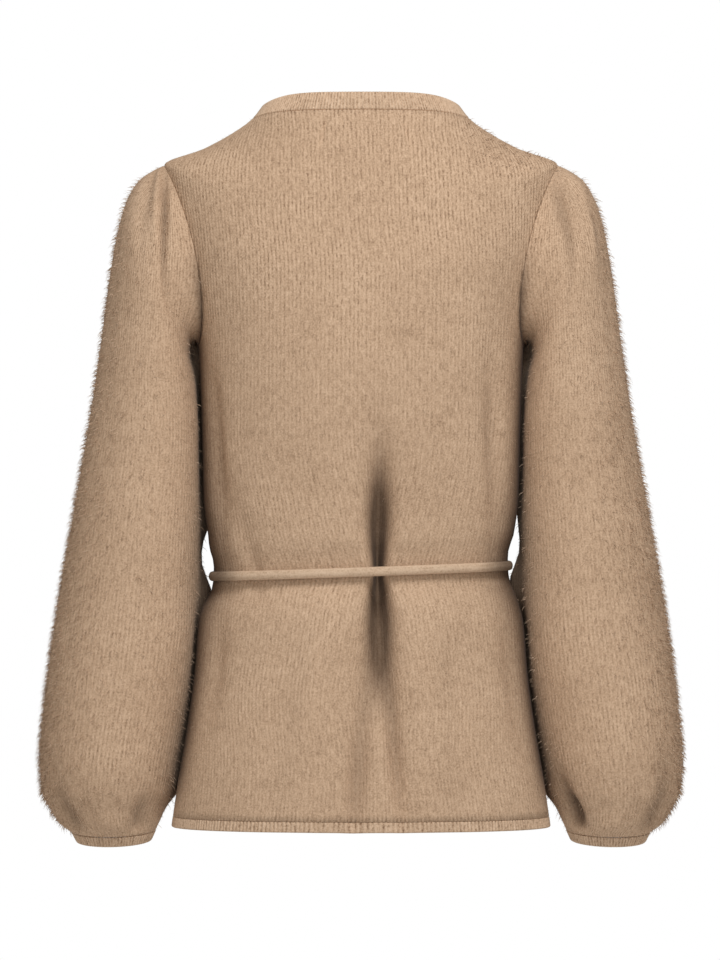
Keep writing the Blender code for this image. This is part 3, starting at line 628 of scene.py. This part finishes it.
# wale and course of points on the left sleeve; the wales run straight up to the armhole
def sleeveWeave(points):
    outerX, outerZ, innerX, innerZ, halfDepth, centreY, _ = np.array(sleeve["sections"], float).T * mm
    x, y, down = points[..., 0], points[..., 1], -points[..., 2]
    outer = np.interp(down, -outerZ, outerX)
    low = sleeve["fadeRows"]  # above this row the inner side still turns up to the armpit
    inner = np.interp(down, -innerZ[low:], innerX[low:])
    middle = -(outerZ + innerZ) / 2
    deep, centre = np.interp(down, middle, halfDepth), np.interp(down, middle, centreY)
    turn = np.arctan2((y - centre) / deep, (x - (outer + inner) / 2) / ((outer - inner) / 2))
    profile = np.concatenate([[0], np.cumsum(np.hypot(np.diff(outerX), np.diff(outerZ)))])
    wale = np.unwrap(turn, axis=1) / (2 * math.pi) * sleevePanel["wales"]
    return wale, -np.interp(down, -outerZ, profile)


def makeSleeve(name, side):
    columns = 2 * sleevePanel["wales"]
    rows = np.linspace(0, 1, sleevePanel["rows"])
    rows = lastRow * (rows * 0.75 + 0.25 * smoothStep(rows))
    row = np.repeat(rows[:, None], columns + 1, axis=1)
    angle = np.repeat((2 * math.pi * np.arange(columns + 1) / columns)[None, :], len(rows), axis=0)
    groove = knit["waleRelief"] * (np.arange(columns + 1) % 2)[None, :]
    groove = groove * sleevePanel["relief"] * smoothStep((row - 3) / 3) * smoothStep(lastRow - row)
    outer = sleevePoints(row, angle, knit["napOver"] + groove, side)
    inner = sleevePoints(row, angle, knit["cloth"], side)
    ids = np.arange(row.size).reshape(row.shape)
    ids[:, -1] = ids[:, 0]
    wale, course = sleeveWeave(sleeveBase(row, angle))
    uv = np.stack([wale, course / knit["coursePitch"]], axis=-1)
    return clothShell(name, ids, outer, inner, uv, flip=side > 0, dark=sleevePaintedShade(row, angle, side))


panels = {
    "back": makeBack(),
    "front_left": makeFront("front_left", 1),
    "front_right": makeFront("front_right", -1),
    "sleeve_left": makeSleeve("sleeve_left", 1),
    "sleeve_right": makeSleeve("sleeve_right", -1),
}
dress(panels, "knit_")

# ribbed edges

ribs = {
    "pitch": 3.6 * mm,  # hem and front bands
    "neckPitch": 2.7 * mm,
    "neckLower": 2.5 * mm,  # the knit's top edge lies this much below the CAD band's
    "cuffPitch": 2.9 * mm,
    "relief": 1.25 * mm,
    "perRib": 4,  # mesh columns across one rib
    "rounding": 1.6 * mm,  # of the free edges
    "skin": 0.3 * mm,
    "frontRibs": 8,
    "cuffHeight": 10 * mm,
    "cuffTaper": 0.88,
}


# closed ribbed band; place(share across the ribs, share along them, depth) gives its points
def ribbedShell(name, place, count, height, wrap=False, flip=False):
    columns = count * ribs["perRib"] + 1
    across = np.arange(columns) / (columns - 1)
    t = np.array([0, 0.05, 0.13, 0.25, 0.4, 0.6, 0.75, 0.87, 0.95, 1])
    if height > 0.1:
        t = np.concatenate([[0, 0.002, 0.004], np.linspace(0.008, 0.992, 70), [0.996, 0.998, 1]])
    fromEdge = np.minimum(t, 1 - t) * height
    bend = 1 - np.clip(fromEdge / ribs["rounding"], 0, 1)[:, None]
    tuck = (knit["cloth"] - ribs["relief"]) * 0.42 * (1 - np.sqrt(1 - bend**2))
    groove = ribs["relief"] * (0.5 - 0.5 * np.cos(2 * math.pi * across * count))
    fromSide = np.minimum(across, 1 - across) * count * ribs["perRib"]  # in mesh columns
    sideTuck = 0 if wrap else 0.3 * knit["cloth"] * np.clip(1 - fromSide, 0, 1) ** 2
    a, b = np.broadcast_arrays(across[None, :], t[:, None])
    outer = place(a, b, ribs["skin"] + groove * (1 - bend * 0.5) + tuck + sideTuck)
    inner = place(a, b, knit["cloth"] - tuck - sideTuck + 0 * a)
    ids = np.arange(a.size).reshape(a.shape)
    if wrap:
        ids[:, -1] = ids[:, 0]
    uv = np.stack([a * count, b * height / knit["coursePitch"]], axis=-1)
    return clothShell(name, ids, outer, inner, uv, flip)


def ringLength(first, last, height):
    points = torsoPoints(np.linspace(first, last, 300), height + np.zeros(300), 0)
    return np.linalg.norm(np.diff(points, axis=0), axis=1).sum()


def bodyBand(name, first, last, bottom, top, tucked, pitch=ribs["pitch"]):
    def place(a, b, depth):
        angle = first + (last - first) * a
        height = bottom + (top - bottom) * b
        layer = np.where(angle < 0, underLayer(angle, height), 0) if tucked else 0
        return torsoPoints(angle, height, depth, layer)

    count = round(ringLength(first, last, (bottom + top) / 2) / pitch)
    return ribbedShell(name, place, count, top - bottom)


def makeFrontBand(name, side):
    half = torso["frontBand"] / 2
    bottom, top = torso["hemEdge"], torso["neckSeam"] - knit["seamGap"]
    layer = knit["cloth"] + knit["layerGap"] if side > 0 else 0

    def place(a, b, depth):
        height = bottom + (top - bottom) * b
        return torsoPoints(angleAtX(half * (2 * a - 1), height), height, depth, layer)

    return ribbedShell(name, place, ribs["frontRibs"], top - bottom)


def makeCuff(name, side):
    ring = dict(zip(sleeve["columns"], sleeve["sections"][-1]))
    outerEnd = np.array([ring["outerX"], ring["centreY"], ring["outerZ"]]) * mm
    innerEnd = np.array([ring["innerX"], ring["centreY"], ring["innerZ"]]) * mm
    centre, across = (outerEnd + innerEnd) / 2, (outerEnd - innerEnd) / 2
    backwards = np.array([0, ring["halfDepth"], -ring["backDrop"]]) * mm
    halfWidth, halfDepth = np.linalg.norm(across), np.linalg.norm(backwards)
    down = unit(np.cross(backwards, across))

    def place(a, b, depth):
        angle = 2 * math.pi * a
        size = 1 + (ribs["cuffTaper"] - 1) * b
        wide = ((size - depth / halfWidth) * np.cos(angle))[..., None]
        deep = ((size - depth / halfDepth) * np.sin(angle))[..., None]
        drop = (knit["seamGap"] + (ribs["cuffHeight"] - knit["seamGap"]) * b)[..., None]
        return (centre + down * drop + across * wide + backwards * deep) * np.array([side, 1, 1])

    around = 2 * math.pi * math.sqrt((halfWidth**2 + halfDepth**2) / 2)
    count = round(around / ribs["cuffPitch"])
    return ribbedShell(name, place, count, ribs["cuffHeight"], wrap=True, flip=side > 0)


def makeBands():
    edge, top = torso["hemEdge"], torso["hemEdge"] + torso["hemBand"]
    seamAt = torso["frontBand"] / 2 + knit["seamGap"]
    leftCentre = float(angleAtX(seamAt, edge))
    rightCentre = float(angleAtX(-seamAt, edge))
    freeEdge = float(angleAtX(-torso["frontBand"] / 2, torso["neckSeam"]))
    low, high = torso["neckSeam"] + knit["seamGap"] / 2, torso["neckbandTop"] - ribs["neckLower"]
    return {
        "hem_band_back": bodyBand("hem_band_back", halfSeam, math.pi - halfSeam, edge, top, False),
        "hem_band_left": bodyBand("hem_band_left", leftCentre, -halfSeam, edge, top, True),
        "hem_band_right": bodyBand("hem_band_right", halfSeam - math.pi, rightCentre, edge, top, False),
        "neckband": bodyBand("neckband", freeEdge, math.pi - freeEdge, low, high, True, ribs["neckPitch"]),
        "front_band_left": makeFrontBand("front_band_left", 1),
        "front_band_right": makeFrontBand("front_band_right", -1),
        "cuff_left": makeCuff("cuff_left", 1),
        "cuff_right": makeCuff("cuff_right", -1),
    }


bands = makeBands()
dress(bands, "rib_")

# belt

belt = {
    "thick": 6 * mm,
    "high": 8.5 * mm,
    "gap": 1.3 * mm,
    "sunkAtSides": 3.5 * mm,
    "sidePaintedShade": (0.75, 102 * mm, 28 * mm),  # painted shade under the sleeves: darkness, start and fade-in across the body
    "knot": (24 * mm, 13 * mm, 19 * mm),
    "knotLift": 1.8 * mm,
    "endDiameter": 7 * mm,
    "sides": 16,
    # routes of the two hanging ends, given as x and z in millimetres; their depth follows the cloth
    "endRoutes": {
        "belt_end_left": (
            (6, -417.2), (8, -433), (12, -453), (16, -480), (18, -515), (19, -550), (21, -585), (24, -615),
        ),
        "belt_end_right": (
            (-6, -417.2), (-8, -432), (-11, -451), (-14, -477),
            (-16, -511), (-19, -545), (-22, -573), (-23, -597),
        ),
    },
    # turns of the half knot in millimetres from its middle, from the belt's side to the hanging end
    "knotTurns": (
        ((12, 2.5, 0), (8, 0, 1.5), (3, -2.6, 2), (-2, -3.2, -0.5), (-5, -2.2, -4.5), (-6, -0.6, -9.6)),
        (
            (-12, 2.5, 0), (-8, 2.6, 2), (-3, 3, 5), (2, 1.8, 6.6),
            (6, -1.6, 5), (7, -3.2, 0), (6.5, -2.4, -5), (6, -0.6, -9.6),
        ),
    ),
    "knotCord": 6.2 * mm,
    "endLift": 1.1 * mm,  # of a hanging end off the cloth
    "pitch": 2.6 * mm,  # of the stitches along the belt
    "wales": 6,  # round it
}


# surface of a closed tube through points, with round ends where asked; sizes are its two thicknesses
def tubeSurface(centre, outwards, outSize, acrossSize, sides, roundEnds=(False, False)):
    along = unit(np.gradient(centre, axis=0))
    across = unit(np.cross(along, outwards))
    out = unit(np.cross(across, along))
    reach = np.concatenate([[0], np.cumsum(np.linalg.norm(np.diff(centre, axis=0), axis=1))])
    scale = np.ones(len(centre))
    for fromEnd, wanted in ((reach, roundEnds[0]), (reach[-1] - reach, roundEnds[1])):
        if wanted:
            q = 1 - np.clip(fromEnd / (outSize / 2), 0, 1)
            scale = np.minimum(scale, np.sqrt(np.clip(1 - 0.94 * q**2, 0, 1)))
    turn = 2 * math.pi * np.arange(sides) / sides
    ring = out[:, None] * (outSize / 2 * np.cos(turn))[None, :, None]
    ring = ring + across[:, None] * (acrossSize / 2 * np.sin(turn))[None, :, None]
    points = centre[:, None] + ring * scale[:, None, None]
    ids = np.arange(points.shape[0] * sides).reshape(-1, sides)
    ids = np.concatenate([ids, ids[:, :1]], axis=1)
    faces, places = gridFaces(ids, flip=False)
    caps = [ids[:1, -2::-1], ids[-1:, :-1]]
    u = np.arange(sides + 1)[None, :] / sides * belt["wales"] + 0 * reach[:, None]
    v = reach[:, None] / belt["pitch"] + 0 * u
    uv = np.stack([u, v], axis=-1)
    cornerUv = [uv[p[..., 0], p[..., 1]] for p in places]
    capUv = [np.zeros((1, sides, 2)), np.zeros((1, sides, 2))]
    return points.reshape(-1, 3), [*faces, *caps], [*cornerUv, *capUv]


# one mesh made of several surfaces
def joined(name, surfaces):
    points, faces, uvs, count = [], [], [], 0
    for more, moreFaces, moreUvs in surfaces:
        points.append(more)
        faces += [f + count for f in moreFaces]
        uvs += moreUvs
        count += len(more)
    return addMesh(name, np.concatenate(points), faces, uvs or None)


def beltCentre(angle):
    sunk = belt["sunkAtSides"] * np.exp(-((np.sin(angle) / 0.35) ** 2))
    out = belt["gap"] + belt["thick"] / 2 - torso["cinchDepth"] - sunk
    height = beltHeight(angle)
    return torsoBase(angle, height) + torsoNormal(angle, height) * (out + 0 * angle)[..., None]


knotMiddle = beltCentre(np.array(-math.pi / 2))
knotMiddle = knotMiddle + np.array([0, -(belt["knot"][1] - belt["thick"]) / 2 - belt["knotLift"], 0])


def makeBelt():
    start = float(angleAtX(belt["knot"][0] / 2 + knit["seamGap"], torso["beltLine"]))
    angle = np.linspace(start, math.pi - start, 260)
    outwards = torsoNormal(angle, beltHeight(angle)) * (1, 1, 0)
    surface = tubeSurface(beltCentre(angle), outwards, belt["thick"], belt["high"], belt["sides"])
    piece = addMesh("belt", *surface)
    # painted shade where the belt runs under the sleeves
    most, start, fade = belt["sidePaintedShade"]
    paintShade(piece, most * smoothStep((np.abs(surface[0][:, 0]) - start) / fade))
    return piece


def smoothPath(points, count):
    points = np.array(points, float)
    stations = np.arange(len(points))
    t = np.linspace(0, len(points) - 1, count)
    return np.stack([smoothCurve(stations, points[:, k], t) for k in range(3)], axis=-1)


def makeKnot():
    turns = []
    for route in belt["knotTurns"]:
        path = knotMiddle + smoothPath(route, 40) * mm
        outwards = unit(path - knotMiddle - np.array([0, 20 * mm, 0]))
        turns.append(tubeSurface(path, outwards, belt["knotCord"] * 0.9, belt["knotCord"], belt["sides"]))
    return joined("belt_knot", turns)


def beltEndPath(route):
    path = smoothPath([(x, 0, z) for x, z in route], 60) * mm
    x, z = path[:, 0], path[:, 2]
    cloth = torsoPoints(angleAtX(x, z), z, 0)
    onCloth = cloth[:, 1] - belt["endDiameter"] / 2 - belt["endLift"]
    hold = 1 - smoothStep(np.linspace(0, len(route) - 1, 60) / 3)  # from the knot down over three stations
    path[:, 1] = onCloth * (1 - hold) + np.minimum(knotMiddle[1] - 1 * mm, onCloth) * hold
    return path


def makeBeltEnd(name, route):
    path = beltEndPath(route)
    outwards = np.repeat([[0.0, -1.0, 0.0]], len(path), axis=0)
    size = belt["endDiameter"]
    piece = addMesh(name, *tubeSurface(path, outwards, size, size, belt["sides"], (False, True)))
    return piece


cords = {"belt": makeBelt(), "belt_knot": makeKnot()}
for name, route in belt["endRoutes"].items():
    cords[name] = makeBeltEnd(name, route)
dress(cords, "cord_")

# pile

pile = {
    "colours": 3,  # material slots: light, middle and dark fibres
    "shares": {"short": (0.4, 0.4, 0.2), "long": (0.25, 0.5, 0.25)},
    "thickness": {"short": 0.30 * mm, "long": 0.5 * mm},
    "rooted": 0.5 * mm,  # how far a fibre starts inside the cloth
    # fibres on each panel: short ones all over, and long curved ones where the photo shows the halo
    "short": {
        "back": 20000, "front_left": 7000, "front_right": 7000, "sleeve_left": 14000, "sleeve_right": 14000,
    },
    "long": {"back": 240, "sleeve_left": 11000, "sleeve_right": 11000},
    "shortLength": (2.2 * mm, 5.0 * mm),
    "longLength": (3.2 * mm, 9.0 * mm),
    "shortLean": 1.5,  # how much a fibre lies along the cloth, against standing off it
    "longLean": 0.55,
    "lengthPower": 1.6,  # above 1, most fibres are nearer the shorter length
    "wander": 0.8,
    "bendAt": 0.55,  # share of a long fibre below its bend
    "droop": 0.7,  # of its tip
    "curl": 0.8,
    # how thick the long fibres stand: all over, on the outer side at the top and below, on the balloon
    "halo": {"all": 0.035, "outer": 0.7, "outerLow": 1.3, "balloon": 0.06},
}


def readAll(items, field, kind, width=1):
    values = np.empty(len(items) * width, kind)
    items.foreach_get(field, values)
    return values


# outer faces of a shell: corner points, normals, areas and painted shade
def outerFaces(piece):
    data = piece.data
    points = readAll(data.vertices, "co", np.float32, 3).reshape(-1, 3)
    shade = readAll(data.attributes["Dark"].data, "value", np.float32)
    corners = readAll(data.loops, "vertex_index", np.int32)
    start = readAll(data.polygons, "loop_start", np.int32)
    total = readAll(data.polygons, "loop_total", np.int32)
    ids = corners[start[total == 4][:, None] + np.arange(4)]
    ids = ids[(ids < len(points) // 2).all(axis=1)]  # the first half of the vertices is the outer skin
    quads = points[ids].astype(float)
    cross = np.cross(quads[:, 2] - quads[:, 0], quads[:, 3] - quads[:, 1])
    area = np.linalg.norm(cross, axis=1) / 2
    return quads, unit(cross), area, shade[ids].mean(axis=1)


# closed spikes from their roots: a ring of three, a second ring at the bend, and a tip
def spikes(roots, first, second, thickness, bent):
    side = unit(np.cross(first, rng.normal(size=first.shape)))
    other = unit(np.cross(first, side))
    turns = 2 * math.pi * np.arange(3) / 3
    ring = side[:, None] * np.cos(turns)[:, None] + other[:, None] * np.sin(turns)[:, None]
    ring = ring * thickness / 2
    rows = [roots[:, None] + ring]
    if bent:
        rows.append((roots + first)[:, None] + ring * 0.7)
    tip = (roots + first + second)[:, None] if bent else (roots + first)[:, None]
    points = np.concatenate([*rows, tip], axis=1)
    size = points.shape[1]
    base = np.arange(len(roots))[:, None] * size
    quads, tris = [], [base + [[2, 1, 0]]]
    last = size - 4
    for k in range(3):
        j = (k + 1) % 3
        if bent:
            quads.append(base + [[k, j, j + 3, k + 3]])
        tris.append(base + [[last + k, last + j, size - 1]])
    return points.reshape(-1, 3), [np.concatenate(group) for group in (tris, quads) if group], []


# random roots on a panel, with the share of each face set by weight
def scatter(piece, count, weight):
    quads, normals, area, dark = outerFaces(piece)
    middle = quads.mean(axis=1)
    chance = area * weight(middle, normals, dark)
    pick = rng.choice(len(quads), size=count, p=chance / chance.sum())
    a, b = rng.random((2, count, 1))
    corner = quads[pick]
    top = corner[:, 0] * (1 - a) + corner[:, 1] * a
    bottom = corner[:, 3] * (1 - a) + corner[:, 2] * a
    return top * (1 - b) + bottom * b, normals[pick]


def grow(name, piece, kind, weight):
    count = pile[kind][name]
    roots, normals = scatter(piece, count, weight)
    down = unit(np.array([0, 0, -1.0]) - normals * -normals[:, 2:3])
    aside = np.cross(normals, down)
    low, high = pile[kind + "Length"]
    length = low + (high - low) * rng.random((count, 1)) ** pile["lengthPower"]
    lean = pile[kind + "Lean"] * (0.4 + rng.random((count, 1)))
    heading = unit(normals + down * lean + aside * pile["wander"] * rng.normal(size=(count, 1)))
    roots = roots - normals * pile["rooted"]
    tone = rng.choice(pile["colours"], size=count, p=pile["shares"][kind])
    thickness = pile["thickness"][kind]
    if kind == "short":
        return *spikes(roots, heading * length, None, thickness, False), tone
    curl = unit(heading + down * pile["droop"] + aside * pile["curl"] * rng.normal(size=(count, 1)))
    first, second = heading * length * pile["bendAt"], curl * length * (1 - pile["bendAt"])
    return *spikes(roots, first, second, thickness, True), tone


# halo: thick on a sleeve's outer side and on its balloon, thin where the photo shows a clean edge
def haloWeight(middle, normals, dark):
    halo = pile["halo"]
    outwards = np.clip(normals[:, 0] * np.sign(middle[:, 0]), 0, 1)
    low = smoothStep((-160 * mm - middle[:, 2]) / (300 * mm))
    outer = outwards ** 3 * (halo["outer"] + halo["outerLow"] * low)
    return (halo["all"] + outer + halo["balloon"] * low) * (1 - dark) ** 2


# on the body the photo shows a halo only along the right shoulder
def shoulderWeight(middle, normals, dark):
    upwards = smoothStep((normals[:, 2] - 0.35) / 0.3) * (middle[:, 2] > -110 * mm)
    return upwards * smoothStep((-75 * mm - middle[:, 0]) / (35 * mm))


def evenWeight(middle, normals, dark):
    return (1 - dark) ** 3


def makePile(name, piece):
    surfaces = [grow(name, piece, "short", evenWeight)]
    if name in pile["long"]:
        surfaces.append(grow(name, piece, "long", shoulderWeight if name == "back" else haloWeight))
    tones = [np.tile(tone, len(f) // len(tone)) for _, faces, _, tone in surfaces for f in faces]
    made = joined("pile_" + name, [surface[:3] for surface in surfaces])
    made.data.polygons.foreach_set("material_index", np.concatenate(tones).astype(np.int32))
    return made


piles = {name: makePile(name, piece) for name, piece in panels.items()}
for name, piece in piles.items():
    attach(piece, "root")
    print("made", piece.name, len(piece.data.polygons), "faces")

# materials


# a shader socket that sums and products can be written with
class Wire:
    def __init__(self, tree, socket):
        self.tree, self.socket = tree, socket

    def join(self, operation, first, second=0.0):
        return self.tree.node("Math", {"operation": operation}, {0: first, 1: second}, "Value")

    def __add__(self, other):
        return self.join("ADD", self, other)

    def __mul__(self, other):
        return self.join("MULTIPLY", self, other)

    def __sub__(self, other):
        return self.join("SUBTRACT", self, other)

    def __rsub__(self, other):
        return self.join("SUBTRACT", other, self)

    def __pow__(self, other):
        return self.join("POWER", self, other)

    __radd__ = __add__
    __rmul__ = __mul__

    def call(self, operation, *others):
        return self.join(operation, self, *others)

    def clamp(self, low=0.0):
        return self.call("MAXIMUM", low).call("MINIMUM", 1.0)


# one material's nodes
class Finish:
    def __init__(self, name, roughness, sheen):
        self.material = bpy.data.materials.new(name)
        self.material.use_nodes = True
        self.nodes = self.material.node_tree.nodes
        self.links = self.material.node_tree.links
        self.shader = self.nodes["Principled BSDF"]
        self.shader.inputs["Roughness"].default_value = roughness
        self.shader.inputs["Sheen Weight"].default_value = sheen
        self.shader.inputs["Specular IOR Level"].default_value = 0.12

    # a node of a type, with its settings first, then the values or links of its sockets
    def node(self, kind, settings, inputs, output):
        made = self.nodes.new("ShaderNode" + kind)
        for name, value in settings.items():
            if name == "stops":
                for i, (place, colour) in enumerate(value):
                    stop = made.color_ramp.elements[i] if i < 2 else made.color_ramp.elements.new(place)
                    stop.position, stop.color = place, (*colour, 1)
            else:
                setattr(made, name, value)
        for name, value in inputs.items():
            self.feed(made.inputs[name], value)
        return Wire(self, made.outputs[output])

    def feed(self, socket, value):
        if isinstance(value, Wire):
            self.links.new(value.socket, socket)
        elif isinstance(value, tuple) and socket.type == "RGBA":
            socket.default_value = (*value, 1)
        else:
            socket.default_value = value

    def mix(self, share, first, second):
        inputs = {0: share, 6: first, 7: second}
        return self.node("Mix", {"data_type": "RGBA"}, inputs, 2)

    def noise(self, vector, scale, detail):
        return self.node("TexNoise", {}, {"Vector": vector, "Scale": scale, "Detail": detail}, "Fac")

    def stretched(self, vector, by):
        return self.node("VectorMath", {"operation": "MULTIPLY"}, {0: vector, 1: by}, "Vector")

    def show(self, name, value):
        self.feed(self.shader.inputs[name], value)


look = {
    "brushed_knit": {
        "light": (0.70, 0.51, 0.36),
        "middle": (0.53, 0.37, 0.25),
        "dark": (0.25, 0.155, 0.095),
        "paintedShadeColour": (0.05, 0.028, 0.017),  # painted shade colour, where the sleeves are pressed against the body and deep in the folds
        "dash": 0.5, "slant": 0.55, "bump": 0.5, "depth": 0.9 * mm,
        "fuzzyBelow": 0.24,  # the stitches show more clearly above this depth under the neck
    },
    "ribbed_edges": {
        "light": (0.72, 0.54, 0.395),
        "middle": (0.57, 0.41, 0.285),
        "dark": (0.25, 0.155, 0.095),
        "paintedShadeColour": (0.03, 0.018, 0.011),
        "dash": 0.5, "slant": 0.5, "bump": 0.5, "depth": 0.7 * mm,
        "fuzzyBelow": 1.0,
    },
    "knitted_belt": {
        "light": (0.68, 0.52, 0.38),
        "middle": (0.58, 0.425, 0.30),
        "dark": (0.34, 0.22, 0.14),
        "paintedShadeColour": (0.03, 0.018, 0.011),
        "dash": 0.15, "slant": 0.5, "bump": 0.35, "depth": 0.5 * mm,
        "fuzzyBelow": 1.0,
    },
}


# scale and detail of the knit's noises; three scales stretch one along wales and courses, one is per metre
grain = {
    "wobble": ((0.9, 0.9, 1.0), 3.0),
    "dashes": ((1.7, 0.62, 1.0), 1.0),
    "streaks": ((1.3, 0.3, 1.0), 4.0),
    "patches": (16.0, 4.0),
    "specks": (700.0, 2.0),
}


# stockinette in wale and course coordinates: slanted stitches, painted shade between the wales and on the
# stitches' relief, mottled by the nap
def knitFinish(name, values, ridges):
    finish = Finish(name, roughness=0.95, sheen=0.03)
    uv = finish.node("UVMap", {"uv_map": "Knit"}, {}, "UV")
    wale = finish.node("SeparateXYZ", {}, {"Vector": uv}, "X")
    course = finish.node("SeparateXYZ", {}, {"Vector": uv}, "Y")
    place = finish.node("TexCoord", {}, {}, "Object")
    # 0 on a ridge, 1 between two
    fromRidge = ((wale + 0.5).call("FRACT") - 0.5).call("ABSOLUTE") * 2.0
    noises = []
    for scale, detail in grain.values():
        if isinstance(scale, tuple):
            noises.append(finish.noise(finish.stretched(uv, scale), 1.0, detail))
        else:
            noises.append(finish.noise(place, scale, detail))
    wobble, dashes, streaks, patches, specks = noises
    stitch = (course + fromRidge * values["slant"] + wobble * 0.8) * (2 * math.pi)
    stitch = stitch.call("COSINE") * 0.5 + 0.5
    up = finish.node("SeparateXYZ", {}, {"Vector": place}, "Z")
    plain = ((up + values["fuzzyBelow"]) * 6.0).clamp()
    clear = ((patches - 0.4) * 2.4 + plain * 0.5).clamp(0.15)
    # painted shade: dark dashes in the grooves between the wales
    dash = fromRidge ** 1.5 * ((dashes - 0.36) * 4.0).clamp() * clear
    height = (1 - fromRidge * ridges) * 0.5 + stitch * 0.25 * clear
    height = height + streaks * 0.6 + specks * 0.35 - dash * 0.4
    shade = 0.61 + (streaks - 0.5) * 0.8 + (specks - 0.5) * 1.15 + (patches - 0.5) * 0.55
    # painted shade and light on the relief: darker between the wales, lighter on the ridges and stitch by
    # stitch
    shade = shade - dash * values["dash"] + (stitch - 0.5) * 0.06 * clear + (0.5 - fromRidge) * 0.08
    ramp = {"stops": [(0.0, values["dark"]), (0.55, values["middle"]), (1.0, values["light"])]}
    colour = finish.node("ValToRGB", ramp, {"Fac": shade}, "Color")
    # painted shade: the colour runs towards the shade colour where the vertices' painted shade is high
    dark = finish.node("Attribute", {"attribute_name": "Dark"}, {}, "Fac")
    colour = finish.mix(dark * 0.93, colour, values["paintedShadeColour"])
    bump = finish.node(
        "Bump", {}, {"Strength": values["bump"], "Distance": values["depth"], "Height": height}, "Normal"
    )
    finish.show("Base Color", colour)
    finish.show("Normal", bump)
    return finish.material


finishes = {name: knitFinish(name, values, ridges=0.6) for name, values in look.items()}
for group, finishName in ((panels, "brushed_knit"), (bands, "ribbed_edges"), (cords, "knitted_belt")):
    for piece in group.values():
        piece.data.materials.append(finishes[finishName])

fibre = {
    "light": (0.74, 0.56, 0.41),
    "middle": (0.60, 0.43, 0.30),
    "dark": (0.42, 0.29, 0.195),
}
fibreFinishes = []
for name, tone in fibre.items():
    strand = Finish("fibre_" + name, roughness=0.85, sheen=0.05)
    strand.show("Base Color", tone)
    fibreFinishes.append(strand.material)
for piece in piles.values():
    for material in fibreFinishes:
        piece.data.materials.append(material)
print("materials made")

# floor and light

studio = {
    "floorHeight": -0.95,
    "floorRadius": 3.0,
    "floorFade": (1.0, 2.6),  # radius over which the pale floor runs out into the white around it
    "floorColour": (0.86, 0.86, 0.86),
    "fill": ((1.0, 0.93, 0.84), 0.36),  # colour and strength of the light from all round
    "backdrop": ((1, 1, 1), 1.0),
    "lamps": (
        # position, size, watts
        ((-0.35, 1.7, 1.5), 1.0, 38),
        ((0.3, 4.8, 0.4), 2.4, 30),
    ),
}


def makeStudio():
    size = studio["floorRadius"]
    corners = np.array([(-size, -size, 0), (size, -size, 0), (size, size, 0), (-size, size, 0)])
    floor = addMesh("floor", corners + [0, 0, studio["floorHeight"]], [np.array([[0, 1, 2, 3]])])
    paper = Finish("studio_floor", roughness=0.9, sheen=0.0)
    paper.show("Base Color", studio["floorColour"])
    fromMiddle = paper.node("TexCoord", {}, {}, "Object")
    level = paper.stretched(fromMiddle, (1, 1, 0))
    radius = paper.node("VectorMath", {"operation": "LENGTH"}, {0: level}, "Value")
    near, far = studio["floorFade"]
    fade = {"Value": radius, "From Min": near, "From Max": far, "To Min": 1.0, "To Max": 0.0}
    paper.show("Alpha", paper.node("MapRange", {"interpolation_type": "SMOOTHSTEP"}, fade, "Result"))
    floor.data.materials.append(paper.material)
    world = bpy.data.worlds.new("studio")
    world.use_nodes = True
    nodes, links = world.node_tree.nodes, world.node_tree.links
    backgrounds = [nodes["Background"], nodes.new("ShaderNodeBackground")]
    seen, mixed = nodes.new("ShaderNodeLightPath"), nodes.new("ShaderNodeMixShader")
    links.new(seen.outputs["Is Camera Ray"], mixed.inputs[0])
    for number, (colour, strength) in enumerate((studio["fill"], studio["backdrop"])):
        backgrounds[number].inputs["Color"].default_value = (*colour, 1)
        backgrounds[number].inputs["Strength"].default_value = strength
        links.new(backgrounds[number].outputs[0], mixed.inputs[number + 1])
    links.new(mixed.outputs[0], nodes["World Output"].inputs["Surface"])
    bpy.context.scene.world = world
    for number, (position, size, watts) in enumerate(studio["lamps"]):
        data = bpy.data.lights.new(f"softbox_{number}", "AREA")
        data.shape, data.size, data.energy = "DISK", size, watts
        lamp = bpy.data.objects.new(data.name, data)
        lamp.location = position
        aim = np.array([0, 0, camera["aim"][1]]) - np.array(position)
        tilt = math.acos(-aim[2] / np.linalg.norm(aim))
        lamp.rotation_euler = (tilt, 0, math.atan2(aim[1], aim[0]) - math.pi / 2)
        bpy.context.scene.collection.objects.link(lamp)
    bpy.context.scene.view_settings.view_transform = "Standard"


makeStudio()
print("studio made")

# pile on each knitted piece

# for each knitted piece, the pile that stands on it, not used further; left and right are cut alike
for name, piece in {**panels, **bands}.items():
    onIt = [piles[name]] if name in piles else []
